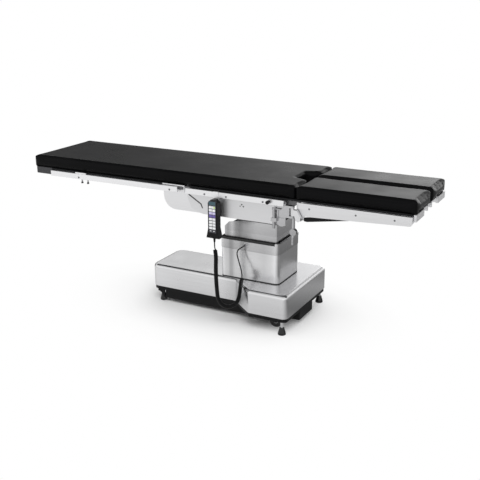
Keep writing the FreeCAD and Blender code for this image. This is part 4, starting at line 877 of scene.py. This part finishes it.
@dataclass
class Cushions:
    """The vinyl cushions, swollen a little by simulation."""

    inset: float = 0.004
    voxel: float = 0.005
    cap: float = 0.005
    corner: float = 0.008
    edge: float = 0.004
    fold_height: float = 0.72
    passes: int = 3

    def build(self) -> None:
        """Make the long cushion and the two leg cushions."""
        self._long_cushion()
        for side in Side:
            self._leg_cushion(side)

    def _block(self, name: str, outline: list[tuple[float, float]], low: float, high: float) -> Piece:
        """A rounded block over an outline.

        Args:
            name: the piece's name.
            outline: its corners, seen from above.
            low: its underside.
            high: its top.

        Returns:
            The block.
        """
        bm = bmesh.new()
        corners = [bm.verts.new((x, y, low)) for x, y in outline]
        face = bm.faces.new(corners)
        made = bmesh.ops.extrude_face_region(bm, geom=[face])
        top = [v for v in made["geom"] if isinstance(v, bmesh.types.BMVert)]
        bmesh.ops.translate(bm, verts=top, vec=(0.0, 0.0, high - low))
        bmesh.ops.recalc_face_normals(bm, faces=bm.faces[:])
        upright = [e for e in bm.edges if abs(e.verts[0].co.z - e.verts[1].co.z) > 1e-6]
        round_off(bm, upright, self.corner, 4)
        level = [e for e in bm.edges if min(v.co.z for v in e.verts) > high - 1e-6]
        round_off(bm, level, self.edge, 3)
        return finish_mesh(bm, name)

    def _swell(self, piece: Piece, low: float, high: float) -> None:
        """Let the cover swell under a little pressure and keep what it gains small.

        Args:
            piece: the block, which is remeshed.
            low: the underside that stays flat.
            high: the highest that the top may reach.
        """
        remesh = piece.modifiers.new("remesh", "REMESH")
        remesh.mode = "VOXEL"
        remesh.voxel_size = self.voxel
        self._apply(piece)
        before = [v.co.copy() for v in piece.data.vertices]
        cloth = piece.modifiers.new("cloth", "CLOTH")
        cloth.settings.use_pressure = True
        cloth.settings.uniform_pressure_force = 4.0
        cloth.settings.effector_weights.gravity = 0.0
        for number in range(1, 13):
            bpy.context.scene.frame_set(number)
        self._apply(piece)
        bpy.context.scene.frame_set(1)
        self._smooth(piece)
        for vert, rest in zip(piece.data.vertices, before):
            moved = vert.co - rest
            if moved.length > self.cap:
                moved *= self.cap / moved.length
            vert.co = rest + moved
            vert.co.z = min(max(vert.co.z, low), high)
        for face in piece.data.polygons:
            face.use_smooth = True

    def _smooth(self, piece: Piece) -> None:
        """Even out the steps that the remesh leaves along the edges."""
        bm = bmesh.new()
        bm.from_mesh(piece.data)
        for _ in range(self.passes):
            bmesh.ops.smooth_vert(bm, verts=bm.verts[:], factor=0.5, use_axis_x=True, use_axis_y=True,
                                  use_axis_z=True)
        bm.to_mesh(piece.data)
        bm.free()

    @staticmethod
    def _apply(piece: Piece) -> None:
        """Bake a piece's modifiers into its mesh."""
        graph = bpy.context.evaluated_depsgraph_get()
        mesh = bpy.data.meshes.new_from_object(piece.evaluated_get(graph))
        old = piece.data
        piece.modifiers.clear()
        piece.data = mesh
        bpy.data.meshes.remove(old)

    def _long_cushion(self) -> None:
        """The one cushion over the back and seat sections, with the cut-out at its foot end."""
        back_low, back_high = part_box("back_pad")
        seat_low, seat_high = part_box("seat_pad")
        inset = self.inset
        head, foot = back_low[0] + inset, seat_high[0] - inset / 2
        near, far = back_low[1] + inset, back_high[1] - inset
        deep, start, end = 0.437 - inset, 0.054 + inset, 0.088 + inset
        outline = [(head, near), (foot, near), (foot, -end), (deep, -start), (deep, start), (foot, end),
                   (foot, far), (head, far)]
        piece = self._block("back_and_seat_cushion", outline, back_low[2], back_high[2] - inset)
        self._swell(piece, back_low[2], back_high[2])
        dress(piece, VINYL)
        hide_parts("back_pad", "pad_fold", "seat_pad")
        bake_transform(piece)

    def _leg_cushion(self, side: Side) -> None:
        """One leg cushion."""
        low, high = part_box(f"leg_pad_{side.tag}")
        inset = self.inset
        outline = [(low[0] + inset / 2, low[1] + inset), (high[0] - inset, low[1] + inset),
                   (high[0] - inset, high[1] - inset), (low[0] + inset / 2, high[1] - inset)]
        piece = self._block(f"leg_cushion_{side.tag}", outline, low[2], high[2] - inset)
        self._swell(piece, low[2], high[2])
        dress(piece, VINYL)
        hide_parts(f"leg_pad_{side.tag}")
        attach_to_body(piece, f"leg_{side.tag}")


@dataclass
class HandControl:
    """The key panel, keys and display on the hand control."""

    rows: int = 9
    key_width: float = 0.0168
    key_height: float = 0.0122
    small_key: tuple[float, float] = (0.0090, 0.0040)
    column: float = 0.0094
    first_row: float = 0.512
    pitch: float = 0.0153
    key_rise: float = 0.0018
    cap: tuple[float, float, float] = (-0.001, 0.0076, 0.0045)
    cap_rise: float = 0.0021
    panel: tuple = ((0.0205, 0.0006), (0.502, 0.6655))
    display: tuple = ((0.0190, 0.0010), (0.6455, 0.6635))

    def build(self) -> None:
        """Make the panel, the display and the keys."""
        low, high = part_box("handset")
        front = low[1]
        centre = (low[0] + high[0]) / 2
        self._plate("key_panel", PANEL, centre, front, *self.panel)
        self._plate("display", SCREEN, centre, front, *self.display)
        for row in range(self.rows):
            for hand in (-1, 1):
                self._key(row, hand, centre, front)

    @staticmethod
    def _plate(name: str, finish: Finish, centre: float, front: float, size: tuple, heights: tuple) -> None:
        """Add a flat plate to the front of the case.

        Args:
            name: the plate's name.
            finish: its surface.
            centre: the case's middle.
            front: the case's front face.
            size: its half width and how far it stands out.
            heights: its lower and upper edge.
        """
        bm = bmesh.new()
        add_box(bm, Vector((centre - size[0], front - size[1], heights[0])),
                Vector((centre + size[0], front + 0.001, heights[1])), 0.0004)
        attach(finish_mesh(bm, name, smooth=False), finish, "handset_body")

    def _key(self, row: int, hand: int, centre: float, front: float) -> None:
        """One key of the pad; the lowest pair is small and the topmost right one has a green half.

        Args:
            row: its row from the bottom.
            hand: -1 left or 1 right.
            centre: the middle of the pad.
            front: the front face of the case.
        """
        z = self.first_row + row * self.pitch
        x = centre + hand * self.column
        finish = {5: KEY_LILAC, 6: KEY_PALE}.get(row, KEY_WHITE)
        wide, high = self.small_key if row == 0 else (self.key_width, self.key_height)
        bm = bmesh.new()
        half = Vector((wide / 2, 0.0, high / 2))
        add_box(bm, Vector((x, front - self.key_rise, z)) - half, Vector((x, front, z)) + half, 0.0008)
        key = finish_mesh(bm, f"key_{row}_{Side(hand).tag}", smooth=False)
        attach(key, finish, "handset_body")
        if row == self.rows - 1 and hand > 0:
            cap = bmesh.new()
            left, right, reach = self.cap
            add_box(cap, Vector((x + left, front - self.cap_rise, z - reach)),
                    Vector((x + right, front, z + reach)), 0.0004)
            attach(finish_mesh(cap, "green_key_cap", smooth=False), KEY_GREEN, "handset_body")


@dataclass
class Fasteners:
    """Screw heads along the rails, the socket screws of the side cover and a dark strip of painted shade in
    its slit.
    """

    face: float = 0.2620
    cover_face: float = 0.2445
    head_radius: float = 0.0050
    socket_radius: float = 0.0024
    rail_heights: tuple = (0.685, 0.680)
    seat_places: tuple = (0.018, 0.142, 0.345)
    back_places: tuple = (-0.776, -0.190)
    leg_places: tuple = (0.589, 0.820, 1.004)
    slit: tuple = ((-0.0870, 0.6664), (-0.0160, 0.6240), (-0.0070, 0.6045), (-0.0012, 0.6055),
                   (-0.0105, 0.6285), (-0.0830, 0.6720))
    cover_screws: tuple = ((0.221, 0.652, 0.0036), (0.230, 0.643, 0.0036), (0.212, 0.643, 0.0026))

    def build(self) -> None:
        """Make the screws of each rail and what lies in the cover."""
        high, low = self.rail_heights
        for side in Side:
            for body, height, places in (("seat", high, self.seat_places), ("back", high, self.back_places),
                                         (f"leg_{side.tag}", low, self.leg_places)):
                for number, x in enumerate(places, start=1):
                    self._screw(f"{body}_rail_screw_{side.tag}_{number}", side, x, height, body)
        for number, (x, z, radius) in enumerate(self.cover_screws, start=1):
            bm = bmesh.new()
            add_disc(bm, Vector((x, -self.cover_face, z)), Vector((0, 1, 0)), radius, 0.0012, 18)
            attach(finish_mesh(bm, f"cover_screw_{number}", smooth=False), BLACK_PAINT, "seat")
        self._liner()
        self._edge_lug()

    def _screw(self, name: str, side: Side, x: float, z: float, body: str) -> None:
        """One sunk screw head, with a black hex disc of painted shade in its socket.

        Args:
            name: the screw's name.
            side: the side of the table.
            x: its place along the table.
            z: its height.
            body: the body that it holds.
        """
        out = Vector((0, side.value, 0))
        middle = Vector((x, side.value * self.face, z))
        head = bmesh.new()
        add_disc(head, middle - out * 0.0002, out, self.head_radius, 0.0006, 24)
        attach(finish_mesh(head, name, smooth=False), SCREW_STEEL, body)
        # The black hex disc is painted shade in the socket.
        socket = bmesh.new()
        add_disc(socket, middle + out * 0.0001, out, self.socket_radius, 0.0006, 6)
        attach(finish_mesh(socket, f"{name}_socket", smooth=False), BLACK_PAINT, body)

    def _edge_lug(self) -> None:
        """The short strip over the back rail near the head end, and the stop screws under that rail."""
        lug = bmesh.new()
        add_box(lug, Vector((-0.798, -0.2625, 0.7045)), Vector((-0.726, -0.2515, 0.7125)), 0.0008)
        attach(finish_mesh(lug, "edge_lug", smooth=False), SATIN, "back")
        for number, x in enumerate((-0.757, -0.718), start=1):
            stem = bmesh.new()
            add_disc(stem, Vector((x, -0.2570, 0.6700)), Vector((0, 0, 1)), 0.0044, 0.0200, 20)
            attach(finish_mesh(stem, f"stop_screw_{number}"), SOCKET_STEEL, "back")
            knob = bmesh.new()
            add_disc(knob, Vector((x, -0.2570, 0.6575)), Vector((0, 0, 1)), 0.0062, 0.0060, 20)
            attach(finish_mesh(knob, f"stop_screw_{number}_tip"), RUBBER, "back")

    def _liner(self) -> None:
        """A dark strip laid in the slit as painted shade for the gap behind the cover."""
        bm = bmesh.new()
        front = [bm.verts.new((x, -self.cover_face - 0.0004, z)) for x, z in self.slit]
        made = bmesh.ops.extrude_face_region(bm, geom=[bm.faces.new(front)])
        rear = [v for v in made["geom"] if isinstance(v, bmesh.types.BMVert)]
        bmesh.ops.translate(bm, verts=rear, vec=(0.0, 0.0008, 0.0))
        attach(finish_mesh(bm, "slit_liner", smooth=False), RUBBER, "seat")


@dataclass
class WiperTrim:
    """The steel trim that covers the wiper around the foot end of the lower shroud."""

    corner: float = 0.028
    section: tuple = ((0.0012, 0.4168), (0.0012, 0.4322), (-0.0068, 0.4343), (-0.0068, 0.4318),
                      (0.0002, 0.4315), (0.0002, 0.4168))

    def build(self) -> None:
        """Sweep the trim's section around the foot end."""
        low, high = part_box("lower_shroud")
        path = []
        for hand in (-1, 1):
            edge = high[1] if hand > 0 else low[1]
            middle = Vector((high[0] - self.corner, edge - hand * self.corner, 0.0))
            turns = range(-78, 1, 6) if hand < 0 else range(0, 79, 6)
            for turn in turns:
                way = Vector((math.cos(math.radians(turn)), math.sin(math.radians(turn)), 0.0))
                path.append((middle + way * self.corner, way))
        bm = bmesh.new()
        rings = [[bm.verts.new(spot + way * out + Vector((0, 0, z))) for out, z in self.section]
                 for spot, way in path]
        count = len(self.section)
        for ring, following in zip(rings, rings[1:]):
            for i in range(count):
                bm.faces.new((ring[i], ring[(i + 1) % count], following[(i + 1) % count], following[i]))
        bm.faces.new(rings[0])
        bm.faces.new(rings[-1])
        attach(finish_mesh(bm, "wiper_trim", smooth=False), SHROUD_STEEL, "base")


@dataclass
class BeamToes:
    """The curved gussets at the beam's head end, in front of the two feet there."""

    outer: float = 0.1432
    thickness: float = 0.003
    head: float = -0.362
    foot: float = -0.318
    top: float = 0.0698
    low: float = 0.026
    radius: float = 0.034

    def build(self) -> None:
        """Make a gusset on each side."""
        for side in Side:
            bm = bmesh.new()
            base = side.value * self.outer
            verts = [bm.verts.new((x, base, z)) for x, z in self._outline()]
            made = bmesh.ops.extrude_face_region(bm, geom=[bm.faces.new(verts)])
            inner = [v for v in made["geom"] if isinstance(v, bmesh.types.BMVert)]
            bmesh.ops.translate(bm, verts=inner, vec=(0.0, -side.value * self.thickness, 0.0))
            attach(finish_mesh(bm, f"beam_toe_{side.tag}", smooth=False), BLACK_PAINT, "base")

    def _outline(self) -> list[tuple[float, float]]:
        """The gusset's corners: level under the tray, then a quarter curve down to the beam's foot."""
        step = 0.012
        centre = (self.head, self.top - step - self.radius)
        curve = [(centre[0] + self.radius * math.sin(math.radians(turn)),
                  centre[1] + self.radius * math.cos(math.radians(turn))) for turn in range(0, 91, 10)]
        return [(self.foot, self.top), (self.head, self.top), (self.head, self.top - step), *curve,
                (centre[0] + self.radius, self.low), (self.foot, self.low)]


@dataclass
class Castors:
    """Finishes for the wheels, whose hubs and treads are told apart by their distance from the axle."""

    def build(self) -> None:
        """Dress each wheel."""
        for name in ("swivel_wheel_near", "swivel_wheel_far", "fixed_wheel_near", "fixed_wheel_far"):
            low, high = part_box(name)
            axle = tuple((a + b) / 2 for a, b in zip(low, high))
            finish = WheelRubber(f"{name}_rubber", (0.02, 0.02, 0.02), 0.6, axle=axle)
            dress(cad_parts[name], finish)


def dress_nodes() -> None:
    """Give every carried-over node its finish."""
    for finish, names in NODE_FINISHES.items():
        for name in names:
            dress(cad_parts[name], finish)


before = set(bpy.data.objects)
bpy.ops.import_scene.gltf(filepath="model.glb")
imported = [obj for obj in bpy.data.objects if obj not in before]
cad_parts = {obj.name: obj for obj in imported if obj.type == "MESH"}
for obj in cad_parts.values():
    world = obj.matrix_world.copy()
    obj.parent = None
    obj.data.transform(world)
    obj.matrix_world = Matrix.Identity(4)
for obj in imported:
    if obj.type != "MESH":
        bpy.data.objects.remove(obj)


def main() -> None:
    """Build the scene in order."""
    logging.basicConfig(level=logging.INFO, format="%(message)s")
    bpy.context.scene.view_settings.view_transform = "Standard"
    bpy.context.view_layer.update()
    for builder in (Camera(), CurlyCord(), Studio(), Cushions(), HandControl(), Fasteners(), WiperTrim(),
                    BeamToes(), Castors()):
        LOG.info("building %s", type(builder).__name__)
        builder.build()
    dress_nodes()


if __name__ == "__main__":
    main()
